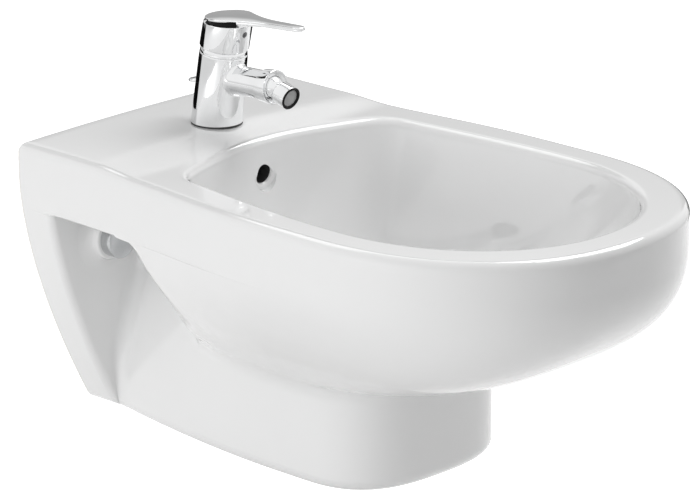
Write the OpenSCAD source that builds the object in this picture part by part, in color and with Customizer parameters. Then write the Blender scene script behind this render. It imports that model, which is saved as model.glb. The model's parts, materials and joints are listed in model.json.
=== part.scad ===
// Wall-hung bidet with a single-lever tap and a pop-up waste.
// The origin is on the wall, midway between the two fixing holes. Z is up and the bowl points along -Y.

/* [Ceramic] */
// Length from the wall to the nose
bowl_len = 560; // [540:5:600]
// Widest width of the rim
bowl_w = 350; // [340:5:370]
// Width where the body meets the wall
wall_w = 315; // [300:5:325]
// Distance from the wall to the widest point
widest_y = 365; // [350:5:380]
// Height of the upright band under the rim
band_h = 40; // [34:1:44]
// Rim plane down to the line where the bowl meets the skirt
bowl_drop = 164; // [160:1:170]
// Rim plane down to the skirt's bottom edge
body_h = 253; // [248:1:270]
// Wall thickness of the casting
wall_t = 12; // [10:0.5:13]
// Rounding of the outer rim edge
rim_r = 8; // [5:1:10]
// Rounding of the bottom edges
foot_r = 12; // [8:1:14]
// Rise of the tap deck over the rim plane
deck_rise = 5; // [0:1:7]

/* [Basin] */
// Depth of the tap deck, wall to basin
deck_d = 137; // [134:1:142]
// Width of the basin's mouth
mouth_w = 280; // [270:2:290]
// Width of the rim in front of the mouth
front_rim = 37; // [34:1:50]
// Rim plane down to the basin floor
basin_h = 116; // [108:1:120]
// Distance from the wall to the waste hole's axis
waste_y = 240; // [232:1:250]
// Rounding of the inner lip
lip_r = 7; // [5:1:9]

/* [Skirt and wall flange] */
// Width of the skirt
skirt_w = 196; // [188:2:200]
// Distance from the wall to the skirt's front
skirt_len = 356; // [350:2:364]
// Thickness of the wall flange
flange_t = 35; // [30:1:38]
// Width of the flange at its foot
flange_foot = 150; // [144:2:154]
// Rim plane down to the side recess's ceiling
recess_top = 56; // [52:1:60]
// Distance from the wall to the recess's front
recess_front = 130; // [124:1:134]

/* [Wall fixings] */
// Distance between the two fixing holes
fixing_gap = 180; // [180:5:190]
// Rim plane down to the fixing holes
fixing_drop = 88; // [84:1:94]
// Radius of the hole for each wall stud
stud_hole_r = 6.2; // [6.1:0.1:6.5]
// Wall of each plastic sleeve
sleeve_wall = 2.8; // [2:0.2:3.2]
// How far the flange is raised round each fixing
pad_h = 11; // [9:0.5:12]
// Radius of the raised face there
pad_r = 19; // [18:0.5:21]
// Radius of each cap over a nut
cap_r = 16; // [15:0.5:17]
// How far each cap stands off the raised face
cap_h = 11.5; // [11.5:0.5:13]

/* [Tap] */
// Distance from the wall to the tap's axis
tap_y = 83; // [80:1:85]
// Radius of the tap hole in the deck
tap_hole_r = 17.5; // [17.5:0.25:18]
// Forward lean of the tap's body, degrees
lean = 8; // [6:0.5:9]
// Radius of the body at its foot
base_r = 22.7; // [22:0.1:24]
// Radius of the body at its top
neck_r = 21; // [20.6:0.1:21.2]
// Length of the body along its axis
tap_h = 67.5; // [66:0.5:69]
// Radius of the cartridge
cart_r = 17.5; // [17:0.1:17.6]
// Radius of the dome that the handle moves over
dome_r = 24.4; // [24.2:0.1:24.6]
// Height of the handle block
block_h = 28.5; // [27.5:0.5:31]
// Reach of the lever from the body's axis
lever_len = 88.5; // [84:0.5:96]
// Width of the lever near its tip
lever_w = 13.5; // [12:0.5:16]
// Thickness of the lever
lever_t = 3.6; // [3.2:0.2:5]
// Upward slope of the lever, degrees
lever_rise = 3.5; // [2:0.5:6]
// Upward slope of the spout, degrees
rise = 2.5; // [1:0.5:5]
// Height of the spout's axis along the body
spout_s = 42.5; // [41.5:0.5:43.5]
// Radius of the spout
spout_r = 12.7; // [12.5:0.1:13.2]
// Reach of the spout to its ball's centre
spout_len = 61.5; // [60:0.5:64]

/* [Nozzle] */
// Radius of the swivel ball
ball_r = 10; // [9.6:0.1:10.2]
// Radius of the collar round the ball
collar_r = 15.2; // [15:0.1:16]
// Radius of the nozzle tube
nozzle_r = 10.1; // [9.8:0.1:10.6]
// Length of the nozzle tube
nozzle_len = 14.5; // [13:0.5:17]
// Downward tilt of the nozzle at rest, degrees
nozzle_tilt = 15; // [10:1:17]

/* [Tap fastening] */
// Radius of the tap's stud
tap_stud_r = 4; // [3.5:0.25:4.25]
// Distance of the stud in front of the tap's axis
tap_stud_off = 10; // [9.5:0.25:10.5]
// Radius of the two water inlets
inlet_r = 5; // [4.5:0.1:5.2]
// Distance of each inlet from the middle
inlet_x = 10.5; // [10.2:0.1:10.7]
// Thickness of the rubber washer under the deck
pad_t = 3; // [2:0.5:4]
// Thickness of the metal washer under it
clamp_t = 2; // [1.5:0.5:3]
// Length of the nut under that
tap_nut_h = 9; // [7:1:12]

/* [Pop-up linkage] */
// Radius of the lift rod
rod_r = 2.3; // [2:0.1:2.4]
// Distance of the lift rod behind the tap's axis, at the deck
rod_off = 14.2; // [14:0.1:14.4]
// Backward tilt of the lift rod, degrees
rod_tilt = 9; // [8:0.5:10]
// Height of the knob over the deck
knob_up = 33.5; // [32:0.5:36]
// Radius of the knob
knob_r = 7; // [6:0.25:7.5]
// Thickness of the knob
knob_t = 2.8; // [2.6:0.2:3.6]
// Width of the strap
strap_w = 10; // [9:0.5:11]
// Thickness of the strap
strap_t = 1.5; // [1.2:0.1:2]
// Rim plane down to the ball rod's axis
ball_rod_drop = 172; // [170:1:174]
// Radius of the ball rod
ball_rod_r = 2.4; // [2:0.1:2.5]
// Radius of the ball on it
pivot_ball_r = 6; // [5.5:0.1:6.2]
// Distance from the waste's axis to the ball
pivot_y = 32; // [31:0.5:34]

/* [Waste] */
// Radius of the waste hole in the basin floor
waste_hole_r = 23; // [22.5:0.25:23.5]
// Thickness of the floor at the waste hole
floor_t = 16; // [15:0.5:17]
// Radius of the waste's flange
waste_flange_r = 31.5; // [30:0.5:32]
// Radius of the waste's threaded tube
waste_tube_r = 20; // [19.5:0.1:20.2]
// Wall of the threaded tube
tube_wall = 2.2; // [1.8:0.1:2.4]
// Radius of the plug
plug_r = 18.6; // [18:0.1:19]
// How far the plug stands open at rest
plug_open = 5.7; // [5.7:0.1:7]
// Length of the waste body
waste_body_h = 52; // [50:1:56]
// Radius of the tail pipe
tail_r = 16; // [15.5:0.25:16.25]
// Length of the tail pipe below the body
tail_len = 34; // [30:1:38]

/* [Overflow] */
// Rim plane down to the overflow hole
overflow_drop = 31; // [29:1:34]
// Radius of the overflow hole
overflow_r = 8.5; // [7.5:0.25:9]
// Radius of the channel behind it
channel_r = 5; // [4:0.25:5.5]

/* [Hidden] */
$fn = 64;

// Clearances
run_gap = 0.05;      // a pin turning or sliding in its bore
fit_gap = 0.1;       // round pieces that only stand inside each other
body_gap = 0.3;      // faces of pieces that move past each other
cut = 1;             // how far a cut runs past a face

function clamp01(t) = min(1, max(0, t));
function smooth(t) = let (c = clamp01(t)) c * c * (3 - 2 * c);
function mix(a, b, t) = a + (b - a) * t;
// Point on a cubic curve from a to d with handles b and c
function cubic(a, b, c, d, t) =
    a * pow(1 - t, 3) + b * 3 * t * pow(1 - t, 2) + c * 3 * t * t * (1 - t) + d * pow(t, 3);

// The ceramic is lofted through outlines at heights h from the rim plane, so h is negative below it.
// Each outline is half of the plan, from the middle of the wall round to the nose, and is then mirrored.
flare_start = 60;                    // the sides start to flare out here
nose_n = 2.25;                       // how square the nose's plan is
skirt_n = 2.8;                       // and the skirt's
bulge_n = 0.6;                       // squarer still half way down
skirt_c = 274;                       // the skirt's front starts to turn here
side_pow = 1.75;                     // how the bowl's sides draw in
turn_end = 0.93;                     // a hollow rounding into the skirt starts here
turn_tail = 0.16;
front_lead = 5;                      // the front starts to draw in, and ends, this much higher than the sides
front_full = 2.14;                   // how long the bowl's front stays upright
front_turn = 1.53;                   // how round it turns under
root_bend = 215;                     // the skirt's back narrows above this depth
root_w = skirt_w - 46;               // width of the skirt's back at its foot
root_pinch = 38;                     // how fast it narrows
root_min = 44;                       // least half width of the skirt's back
edge_r = 7;                          // rounding of the flange's front edge
root_r = 16;                         // hollow rounding where the skirt meets the flange
corner_r = 14;                       // rounding of the side recess's top front corner
foot_corner = 10;                    // and of the flange's lower corners
step_w = 20;                         // a bowl that overhangs the skirt by less than this blends into it
belly_r = 16;                        // rounding of the bowl's back corner, high up
belly_r_low = 60;                    // and low down
flange_top = 25;                     // the flange is widest down to here
flange_pow = 1.6;                    // how the flange narrows to its foot
mouth_front = bowl_len - front_rim;

function down(h) = -h;
function belly(h) =
    let (t = (down(h) - band_h) / (bowl_drop - band_h), e = pow(clamp01(min(t, turn_end)), side_pow))
    e + (1 - e) * (1 - pow(1 - clamp01((t - turn_end) / turn_tail), 2));
function prow(h) =
    let (t = clamp01((down(h) + front_lead - band_h) / (bowl_drop - band_h)))
    1 - pow(1 - pow(t, front_full), 1 / front_turn);
function side_x(y) = mix(wall_w, bowl_w, smooth((y - flare_start) / (widest_y - flare_start))) / 2;
function rounded_in(d, r) = r * (1 - sqrt(1 - pow(clamp01(1 - d / r), 2)));
function flange_x(h) =
    wall_w / 2 - (wall_w - flange_foot) / 2
        * pow(clamp01((down(h) - flange_top) / (body_h - flange_top)), flange_pow)
        - rounded_in(body_h - down(h), foot_corner);
function root_x(h) =
    let (pinched = root_w / 2 - root_pinch * pow(max(0, root_bend - down(h)) / 100, 1.5))
    min(max(root_min, pinched), flange_x(h) - 1);
function skirt_x(y, h) = mix(root_x(h), skirt_w / 2, 1 - pow(1 - clamp01((y - flange_t) / 215), 2));
function bowl_x(y, h) = mix(side_x(y), skirt_x(y, h), belly(h));
function recess_y(h) =
    let (d = down(h) - recess_top)
    recess_front + 0.2 * max(0, d) - rounded_in(d, corner_r);

// n points on a straight line, without its first one
function line_pts(a, b, n) = [for (i = [1:n]) mix(a, b, i / n)];
// n points on a quarter ellipse from a to b, which leaves a along x if flat is true and along y if not
function bend_pts(a, b, n, flat) =
    [for (i = [1:n]) let (q = 90 * i / n)
        flat ? [mix(a.x, b.x, sin(q)), mix(b.y, a.y, cos(q))]
             : [mix(b.x, a.x, cos(q)), mix(a.y, b.y, sin(q))]];
// From the bowl's back corner along its side and round the nose
function front_pts(from_y, h, t, c) =
    let (w = mix(bowl_w, skirt_w, belly(h)) / 2 - t,
         mid = mix(widest_y, skirt_c, prow(h)),
         tip = mix(bowl_len, skirt_len, prow(h)) - t,
         n = mix(nose_n, skirt_n, prow(h)) + 4 * bulge_n * prow(h) * (1 - prow(h)))
    concat(
        [for (i = [1:c[7]]) let (y = mix(from_y, mid, i / c[7]))
            [mix(bowl_x(y, h) - t, w, i / c[7]), -y]],
        [for (i = [1:c[8]]) let (q = 90 * i / c[8])
            [w * pow(cos(q), 2 / n), -mid - (tip - mid) * pow(sin(q), 2 / n)]]);

// Points of the bowl's back corner, which blend into a plain side where the bowl hardly overhangs
function eased(pts, h, t, from, to) =
    let (share = smooth((bowl_x(to, h) - skirt_x(to, h)) / step_w))
    [for (p = pts)
        let (side = mix(skirt_x(-p.y, h), bowl_x(-p.y, h), smooth((-p.y - from) / (to - from))))
        [mix(side - t, p.x, share), p.y]];
// Outline with straight sides, for the band and the deck
function plain_half(h, t, back, c) =
    let (n = c[1] + c[2] + c[3] + c[4] + c[5] + c[6], far = recess_front + belly_r)
    concat(
        [for (i = [0:c[0]]) [(flange_x(h) - t) * i / c[0], -back]],
        [for (i = [1:n]) let (y = mix(back, far, i / n))
            [side_x(y) - t - (wall_w / 2 - flange_x(h)) * (1 - smooth(y / flare_start)), -y]],
        front_pts(far, h, t, c));
// Outline with the wall flange, the side recess and the bowl
function recessed_half(h, t, c) =
    let (fx = flange_x(h) - t, sx = root_x(h) - t, gap = fx - sx,
         er = min(edge_r, 0.55 * gap), rr = min(root_r, 0.35 * gap),
         ft = flange_t - t, by = recess_y(h) + t, root_y = ft + root_r,
         foot_x = skirt_x(root_y, h) - t, slant = skirt_x(root_y + 1, h) - t - foot_x,
         far = by + mix(belly_r, belly_r_low, belly(h)),
         in_x = skirt_x(by, h) - t, out_x = bowl_x(far, h) - t, jump = max(out_x - in_x, 0),
         in_r = min(10, 0.4 * jump), out_r = min(mix(belly_r, belly_r_low, belly(h)), 0.5 * jump))
    concat(
        [for (i = [0:c[0]]) [fx * i / c[0], 0]],
        [[fx, -max(ft - edge_r, 0.3 * ft)]],
        bend_pts([fx, -max(ft - edge_r, 0.3 * ft)], [fx - er, -ft], c[1] - 1, false),
        line_pts([fx - er, -ft], [sx + rr, -ft], c[2]),
        [for (i = [1:c[3]]) cubic([sx + rr, -ft], [sx + rr / 2, -ft],
            [foot_x - slant * root_r / 2, -root_y + root_r / 2], [foot_x, -root_y], i / c[3])],
        [for (i = [1:c[4]]) let (y = mix(root_y, by - 10, i / c[4])) [skirt_x(y, h) - t, -y]],
        eased(concat(bend_pts([in_x, -by + 10], [in_x + in_r, -by + 1], c[5], false),
                     [[out_x - out_r, -by - 1]],
                     bend_pts([out_x - out_r, -by - 1], [out_x, -far], c[6] - 1, true)),
              h, t, by - 10, far),
        front_pts(far, h, t, c));
// Outline of the space inside the skirt and the bowl
function inner_half(h, t, c) =
    let (by = recess_y(h) + t, far = by + mix(belly_r, belly_r_low, belly(h)),
         in_x = skirt_x(by, h) - t, out_x = bowl_x(far, h) - t, jump = max(out_x - in_x, 0),
         in_r = min(10, 0.4 * jump), out_r = min(20, 0.5 * jump),
         n = c[1] + c[2] + c[3] + c[4])
    concat(
        [for (i = [0:c[0]]) [(root_x(h) - t) * i / c[0], -wall_t]],
        [for (i = [1:n]) let (y = mix(wall_t, by - 10, i / n)) [skirt_x(y, h) - t, -y]],
        eased(concat(bend_pts([in_x, -by + 10], [in_x + in_r, -by + 1], c[5], false),
                     [[out_x - out_r, -by - 1]],
                     bend_pts([out_x - out_r, -by - 1], [out_x, -far], c[6] - 1, true)),
              h, t, by - 10, far),
        front_pts(far, h, t, c));
// The whole outline at height h, with the half mirrored
function ring(half, h) =
    concat([for (p = half) [p.x, p.y, h]], [for (i = [len(half) - 2:-1:1]) [-half[i].x, half[i].y, h]]);
function mix_half(a, b, t) = [for (i = [0:len(a) - 1]) mix(a[i], b[i], t)];

// Points per stretch of the outline: wall, flange side, flange front, root, skirt side,
// back corner in and out, bowl side and nose
fine = [2, 4, 1, 2, 2, 2, 3, 4, 9];
coarse = [1, 1, 1, 1, 1, 1, 2, 3, 6];

// A loft through rings of equally many points, in order, with flat ends
module loft(rings) {
    n = len(rings[0]);
    m = len(rings);
    polyhedron(
        points = [for (r = rings) each r],
        faces = concat(
            [[for (i = [n - 1:-1:0]) i]],
            [for (r = [0:m - 2]) for (i = [0:n - 1])
                let (j = (i + 1) % n) [r * n + i, r * n + j, (r + 1) * n + j]],
            [for (r = [0:m - 2]) for (i = [0:n - 1])
                let (j = (i + 1) % n) [r * n + i, (r + 1) * n + j, (r + 1) * n + i]],
            [[for (i = [0:n - 1]) (m - 1) * n + i]]),
        convexity = 10);
}

// Half outline of the basin's mouth, with as many points as the body's outline
mouth_bow = 12;                      // the mouth's back edge bows forward by this much at its ends
mouth_back_x = 72;
mouth_corner_y = 192;                // the corner ends and the side starts here
mouth_corner_x = mouth_w / 2 - 13;
mouth_n = 2.1;
function mouth_half(c) =
    let (n = c[1] + c[2] + c[3] + c[4] + c[5] + c[6], a = [mouth_back_x, -deck_d - mouth_bow],
         d = [mouth_corner_x, -mouth_corner_y])
    concat(
        [for (i = [0:c[0]]) let (u = i / c[0]) [mouth_back_x * u, -deck_d - mouth_bow * u * u]],
        [for (i = [1:n]) cubic(a, a + [33, -10], d + [-2, 27], d, i / n)],
        [for (i = [1:c[7]]) let (s = i / c[7])
            [mix(mouth_corner_x, mouth_w / 2, smooth(0.5 + s / 2) * 2 - 1),
             -mix(mouth_corner_y, widest_y, s)]],
        [for (i = [1:c[8]]) let (q = 90 * i / c[8])
            [mouth_w / 2 * pow(cos(q), 2 / mouth_n),
             -widest_y - (mouth_front - widest_y) * pow(sin(q), 2 / mouth_n)]]);
function all_round(half) =
    concat(half, [for (i = [len(half) - 2:-1:1]) [-half[i].x, half[i].y]]);
function unit(v) = v / norm(v);
// The mouth grown outwards by t
function grown(pts, t) = [for (p = pts) p + t * unit(p - [0, -300])];
waste_c = [0, -waste_y];
function floor_pt(p) =
    let (u = unit(p - waste_c), ry = u.y > 0 ? 42 : 84) waste_c + u / norm([u.x / 52, u.y / ry]);
// How round the basin's wall is in section: its back is steep and its front is gentle
function roundness(p) = mix(3, 1.9, (1 - unit(p - waste_c).y) / 2);
draft = 0.3;
// A point of the basin's wall, q degrees down its section, below the mouth point p, with the wall grown by t
function basin_pt(p, q, t) =
    let (n = roundness(p), d = pow(sin(q), 2 / n), in = 1 - pow(cos(q), 2 / n), s = in + draft * d * (1 - in),
         f = floor_pt(p) + t * unit(p - waste_c), g = p + t * unit(p - [0, -300]))
    concat(mix(g, f, s), -lip_r - (basin_h - lip_r) * d - (t > 0 ? t * d : 0));
function circle_at(pts, r, h) = [for (p = pts) concat(waste_c + r * unit(p - waste_c), h)];

seat_h = -basin_h - 2;               // the flat that the waste's flange sits on
deck_ramp = deck_d - tap_y;          // length of the slope up to the deck
// The deck stands highest along its middle
function deck_lift(x, y) =
    deck_rise * smooth((deck_d + 8 - y) / deck_ramp) * (1 - 0.5 * pow(2 * x / wall_w, 2));
function lifted(pts) =
    [for (p = pts) [p.x, p.y, p.z + deck_lift(p.x, -p.y) * smooth((p.z + recess_top) / recess_top)]];

// Skin of the casting: up the outside, over the rim and down into the basin
module outer_skin() {
    c = fine;
    mouth = all_round(mouth_half(c));
    foot = [for (q = [0:30:90])
        let (h = -body_h + foot_r * (1 - cos(q))) ring(recessed_half(h, foot_r * (1 - sin(q)), c), h)];
    // depths over the skirt, then up the bowl, where t runs from its foot to its band
    sides = [for (d = [body_h - foot_r - 14, 216, 200, 190]) ring(recessed_half(-d, 0, c), -d)];
    turn = [for (t = [1.1, 1.03, 0.98, 0.95, 0.93, 0.9, 0.86, 0.8, 0.73, 0.64, 0.54, 0.43, 0.32])
        let (h = -mix(band_h, bowl_drop, t)) ring(recessed_half(h, 0, c), h)];
    // the recess's top corner
    corner = [for (d = [1.1, 0.75, 0.42, 0.18])
        let (h = -recess_top - corner_r * d) ring(recessed_half(h, 0, c), h)];
    // each step: depth under the ceiling, and how far the outline is recessed there
    shelf = [for (s = [[0.6, 1], [0, 0.1], [-1.6, 0.035], [-4.5, 0]])
        let (h = -recess_top - s[0], in_half = recessed_half(min(h, -recess_top), 0, c))
        ring(mix_half(plain_half(h, 0, 0, c), in_half, s[1]), h)];
    band = [for (h = [-band_h - 3, -band_h + 8, -20, -rim_r]) ring(plain_half(h, 0, 0, c), h)];
    edge = [for (q = [30, 60, 90])
        let (t = rim_r * (1 - cos(q))) ring(plain_half(0, t, t / 2, c), -rim_r + rim_r * sin(q))];
    top_in = [for (p = edge[2]) [p.x, p.y]];
    lip_out = grown(mouth, lip_r);
    top = [for (s = [0.2, 0.45, 0.7, 1])
        [for (i = [0:len(mouth) - 1]) concat(mix(top_in[i], lip_out[i], s), 0)]];
    lip = [for (q = [30, 60])
        [for (p = grown(mouth, lip_r * (1 - sin(q)))) concat(p, -lip_r * (1 - cos(q)))]];
    basin = [for (q = [0, 14, 26, 38, 50, 62, 73, 82, 90]) [for (p = mouth) basin_pt(p, q, 0)]];
    floor_rings = [circle_at(mouth, waste_flange_r + 2, seat_h), circle_at(mouth, 12, seat_h)];
    upper = [for (r = concat(band, edge, top, lip, basin, floor_rings)) lifted(r)];
    loft(concat(foot, sides, turn, corner, shelf, upper));
}

// Space between the casting's outer wall and the basin
module hollow_space() {
    c = coarse;
    turn_in = 12;                    // the skirt's wall thickens inwards at its foot
    foot = [for (s = [[cut, turn_in + foot_r], [-8, turn_in + foot_r - 4], [-26, wall_t], [-55, wall_t]])
        let (h = -body_h - s[0]) ring(inner_half(h, s[1], c), h)];
    // the underside slopes gently, so the space above it keeps clear of it in height too
    bowl = [for (t = [1.06, 0.98, 0.92, 0.87, 0.8, 0.7, 0.55, 0.38, 0.2])
        let (h = -mix(band_h, bowl_drop, t)) ring(inner_half(h - wall_t, wall_t - 2, c), h)];
    shelf = [for (d = [recess_top, recess_top - wall_t])
        ring(inner_half(-recess_top - wall_t, wall_t - 2, c), -d)];
    low = concat(foot, bowl, shelf);
    high = [for (d = [recess_top - wall_t - 0.6, wall_t + 2]) ring(plain_half(-d, wall_t, wall_t, c), -d)];
    loft(concat(low, high));
}

// The basin's own wall, seen from below
module basin_shell() {
    mouth = all_round(mouth_half(coarse));
    walls = [for (q = [0, 20, 38, 54, 68, 80, 90]) [for (p = mouth) basin_pt(p, q, wall_t)]];
    loft([for (i = [len(walls) - 1:-1:0]) walls[i]]);
}

// Thick parts inside the casting: round the waste hole, behind the overflow and under the tap
boss_r = 36;
rib_w = 26;
channel_y = deck_d - wall_t + 1;     // the overflow channel's upright stretch
channel_low = basin_h + 10;          // depth of its level stretch
module thick_parts() {
    translate([0, -waste_y, seat_h - floor_t]) cylinder(h = floor_t + 8, r = boss_r);
    translate([-rib_w / 2, -channel_y - 14, seat_h - floor_t]) cube([rib_w, 26, -seat_h + floor_t - wall_t]);
    translate([-rib_w / 2, -waste_y, seat_h - floor_t]) cube([rib_w, waste_y - channel_y, floor_t + 2]);
}

// Opening in the wall face for the water pipes and the trap
back_low = 232;
back_mid = 186;
module back_opening() {
    top = 26;
    rotate([90, 0, 0]) translate([0, 0, -cut]) linear_extrude(wall_t + 2 * cut)
        polygon([[-30, -top], [30, -top], [30, -back_mid + 56], [50, -back_mid], [50, -back_low],
                 [-50, -back_low], [-50, -back_mid], [-30, -back_mid + 56]]);
}

sleeve_r = stud_hole_r + sleeve_wall;
pad_slope = 9;                       // the raised face's sides spread by this much
face_d = flange_t + pad_h;           // the raised face's distance from the wall
module at_fixings() {
    for (s = [-1, 1]) translate([s * fixing_gap / 2, 0, 0]) rotate([90, 0, 0]) children();
}

rim_z = fixing_drop;
deck_z = rim_z + deck_rise;

// The casting before its holes, set to its overall size
module casting() {
    resize([bowl_w, bowl_len, body_h + deck_rise]) difference() {
        outer_skin();
        difference() {
            hollow_space();
            basin_shell();
            thick_parts();
        }
        back_opening();
    }
}

module bidet_body() {
    color("white") difference() {
        translate([0, 0, rim_z]) difference() {
            union() {
                casting();
                translate([0, 0, -rim_z]) at_fixings() translate([0, 0, flange_t - cut])
                    cylinder(h = pad_h + cut, r1 = pad_r + pad_slope, r2 = pad_r);
            }
            // overflow hole, then its channel down and forward to the waste hole
            translate([0, -deck_d - 25, -overflow_drop]) rotate([-90, 0, 0])
                cylinder(h = 25 + deck_d - channel_y, r = overflow_r);
            translate([0, -channel_y, -channel_low]) cylinder(h = channel_low - overflow_drop, r = channel_r);
            translate([0, -channel_y, -channel_low]) sphere(r = channel_r);
            translate([0, -waste_y, -channel_low]) rotate([-90, 0, 0])
                cylinder(h = waste_y - channel_y, r = channel_r);
            // waste hole
            translate([0, -waste_y, seat_h - floor_t - cut])
                cylinder(h = floor_t + 2 * cut, r = waste_hole_r);
        }
        translate([0, -tap_y, deck_z - 40]) cylinder(h = 60, r = tap_hole_r);
        at_fixings() translate([0, 0, -cut]) cylinder(h = face_d + 2 * cut, r = sleeve_r);
    }
}

// The tap. Its own axis leans forward from the middle of the tap hole.
seal_t = 1.5;
module tap_frame(s = 0) {
    translate([0, -tap_y, deck_z]) rotate([lean, 0, 0]) translate([0, 0, s]) children();
}
// Along the spout: local Z points out of the body
module spout_frame(l = 0) {
    tap_frame(spout_s) rotate([90 - lean - rise, 0, 0]) translate([0, 0, l]) children();
}
module above_seal() {
    intersection() {
        children();
        translate([-100, -300, deck_z + seal_t]) cube([200, 300, 300]);
    }
}
module tap_base_seal() {
    color("dimgray") translate([0, -tap_y, deck_z]) difference() {
        cylinder(h = seal_t, r = base_r - 0.5);
        translate([0, 0, -cut]) cylinder(h = seal_t + 2 * cut, r = tap_hole_r + 0.5);
    }
}
pivot_s = tap_h - 12;                // the handle's turning centre
cart_low = tap_h - 27;               // the cartridge stands here in the body
cart_top = tap_h - 6;
chamber_r = 12;
chamber_low = tap_h - 34;
thread_r = cart_r + 0.6;
seat_back = 4.5;                     // the ball's centre lies this far outside the spout's end
module rod_frame(w = 0) {
    translate([0, -tap_y + rod_off, deck_z]) rotate([-rod_tilt, 0, 0]) translate([0, 0, w]) children();
}
spigot_r = tap_hole_r - 0.3;
module tap_body() {
    sunk = 10;                       // the body starts below the deck and is cut level with the seal
    taper = (base_r - neck_r) / tap_h;
    color("silver") difference() {
        union() {
            above_seal() tap_frame(-sunk) cylinder(h = tap_h + sunk, r1 = base_r + sunk * taper, r2 = neck_r);
            spout_frame(0) cylinder(h = spout_len - seat_back, r = spout_r);
            translate([0, -tap_y, deck_z - 2]) cylinder(h = 6, r = spigot_r);
        }
        // cartridge seat, its thread and the chamber under it
        tap_frame(cart_low) cylinder(h = 60, r = cart_r + fit_gap);
        tap_frame(tap_h - 8) cylinder(h = 60, r = thread_r + fit_gap);
        tap_frame(chamber_low) cylinder(h = 20, r = chamber_r);
        // water way to the spout, and the ball's seat
        spout_frame(0) translate([0, 0, 22]) cylinder(h = spout_len, r = 5.5);
        tap_frame(chamber_low + 3.5) rotate([90 - lean - rise - 12, 0, 0]) cylinder(h = 34, r = 4.5);
        spout_frame(spout_len) sphere(r = ball_r + body_gap);
        spout_frame(spout_len - seat_back - 3) cylinder(h = 10, r = ball_r + 0.6);
        // inlets, stud and lift rod
        for (s = [-1, 1]) translate([s * inlet_x, -tap_y, deck_z - 10]) cylinder(h = 26, r = inlet_r);
        for (s = [-1, 1]) tap_frame(10) translate([s * inlet_x, 0, 0]) cylinder(h = cart_low - 9, r = 2.5);
        translate([0, -tap_y - tap_stud_off, deck_z - 10]) cylinder(h = 22, r = tap_stud_r + run_gap);
        rod_frame(-20) cylinder(h = 80, r = rod_r + run_gap);
    }
}

// Cartridge: a fixed case, a rotor that turns with the handle, and a spindle that tilts in the rotor
rotor_r = 11;
rotor_low = pivot_s - 8;
stem_w = 8;
stem_end = tap_h + 25;
module mixing_cartridge() {
    color("gainsboro") difference() {
        union() {
            tap_frame(cart_low) cylinder(h = cart_top - cart_low, r = cart_r);
            tap_frame(cart_top - 1) cylinder(h = 4, r = rotor_r + 1.6);
        }
        tap_frame(rotor_low - body_gap) cylinder(h = 40, r = rotor_r + run_gap);
        for (s = [-1, 1]) tap_frame(cart_low - cut) translate([s * inlet_x, 0, 0]) cylinder(h = 5, r = 2.5);
        tap_frame(cart_low - cut) translate([0, -6, 0]) cylinder(h = 5, r = 3.5);
    }
}
pin_r = 1.5;
slot_w = stem_w + 2 * body_gap;
module cartridge_rotor() {
    color("white") difference() {
        tap_frame(rotor_low) cylinder(h = cart_top + 3 - rotor_low, r = rotor_r);
        tap_frame(rotor_low + 2) translate([-slot_w / 2, -rotor_r - cut, 0])
            cube([slot_w, 2 * (rotor_r + cut), 40]);
        tap_frame(pivot_s) rotate([0, 90, 0]) cylinder(h = 4 * rotor_r, r = pin_r + run_gap, center = true);
    }
}
// The spindle's square end, which is also the handle's socket
module stem() {
    tap_frame(pivot_s) translate([-stem_w / 2, -stem_w / 2, 0]) cube([stem_w, stem_w, stem_end - pivot_s]);
}
module cartridge_spindle() {
    color("silver") {
        tap_frame(pivot_s) rotate([0, 90, 0]) cylinder(h = 2 * rotor_r - 1, r = pin_r, center = true);
        tap_frame(pivot_s) rotate([0, 90, 0]) cylinder(h = stem_w, r = 4.6, center = true);
        stem();
    }
}
module cartridge_nut() {
    color("goldenrod") difference() {
        tap_frame(cart_top) cylinder(h = tap_h - cart_top, r = thread_r);
        tap_frame(cart_top - cut) cylinder(h = 20, r = rotor_r + 1.6 + fit_gap);
    }
}
// The ring over the top of the body: a slice of a ball about the handle's turning centre
dome_hole = 14.2;
module dome_ring() {
    color("silver") difference() {
        intersection() {
            tap_frame(pivot_s) sphere(r = dome_r, $fn = 96);
            tap_frame(tap_h) cylinder(h = 14, r = neck_r - 0.2);
        }
        tap_frame(tap_h - cut) cylinder(h = 40, r = dome_hole);
        tap_frame(pivot_s) sphere(r = dome_r - 2.6);
    }
}

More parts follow.
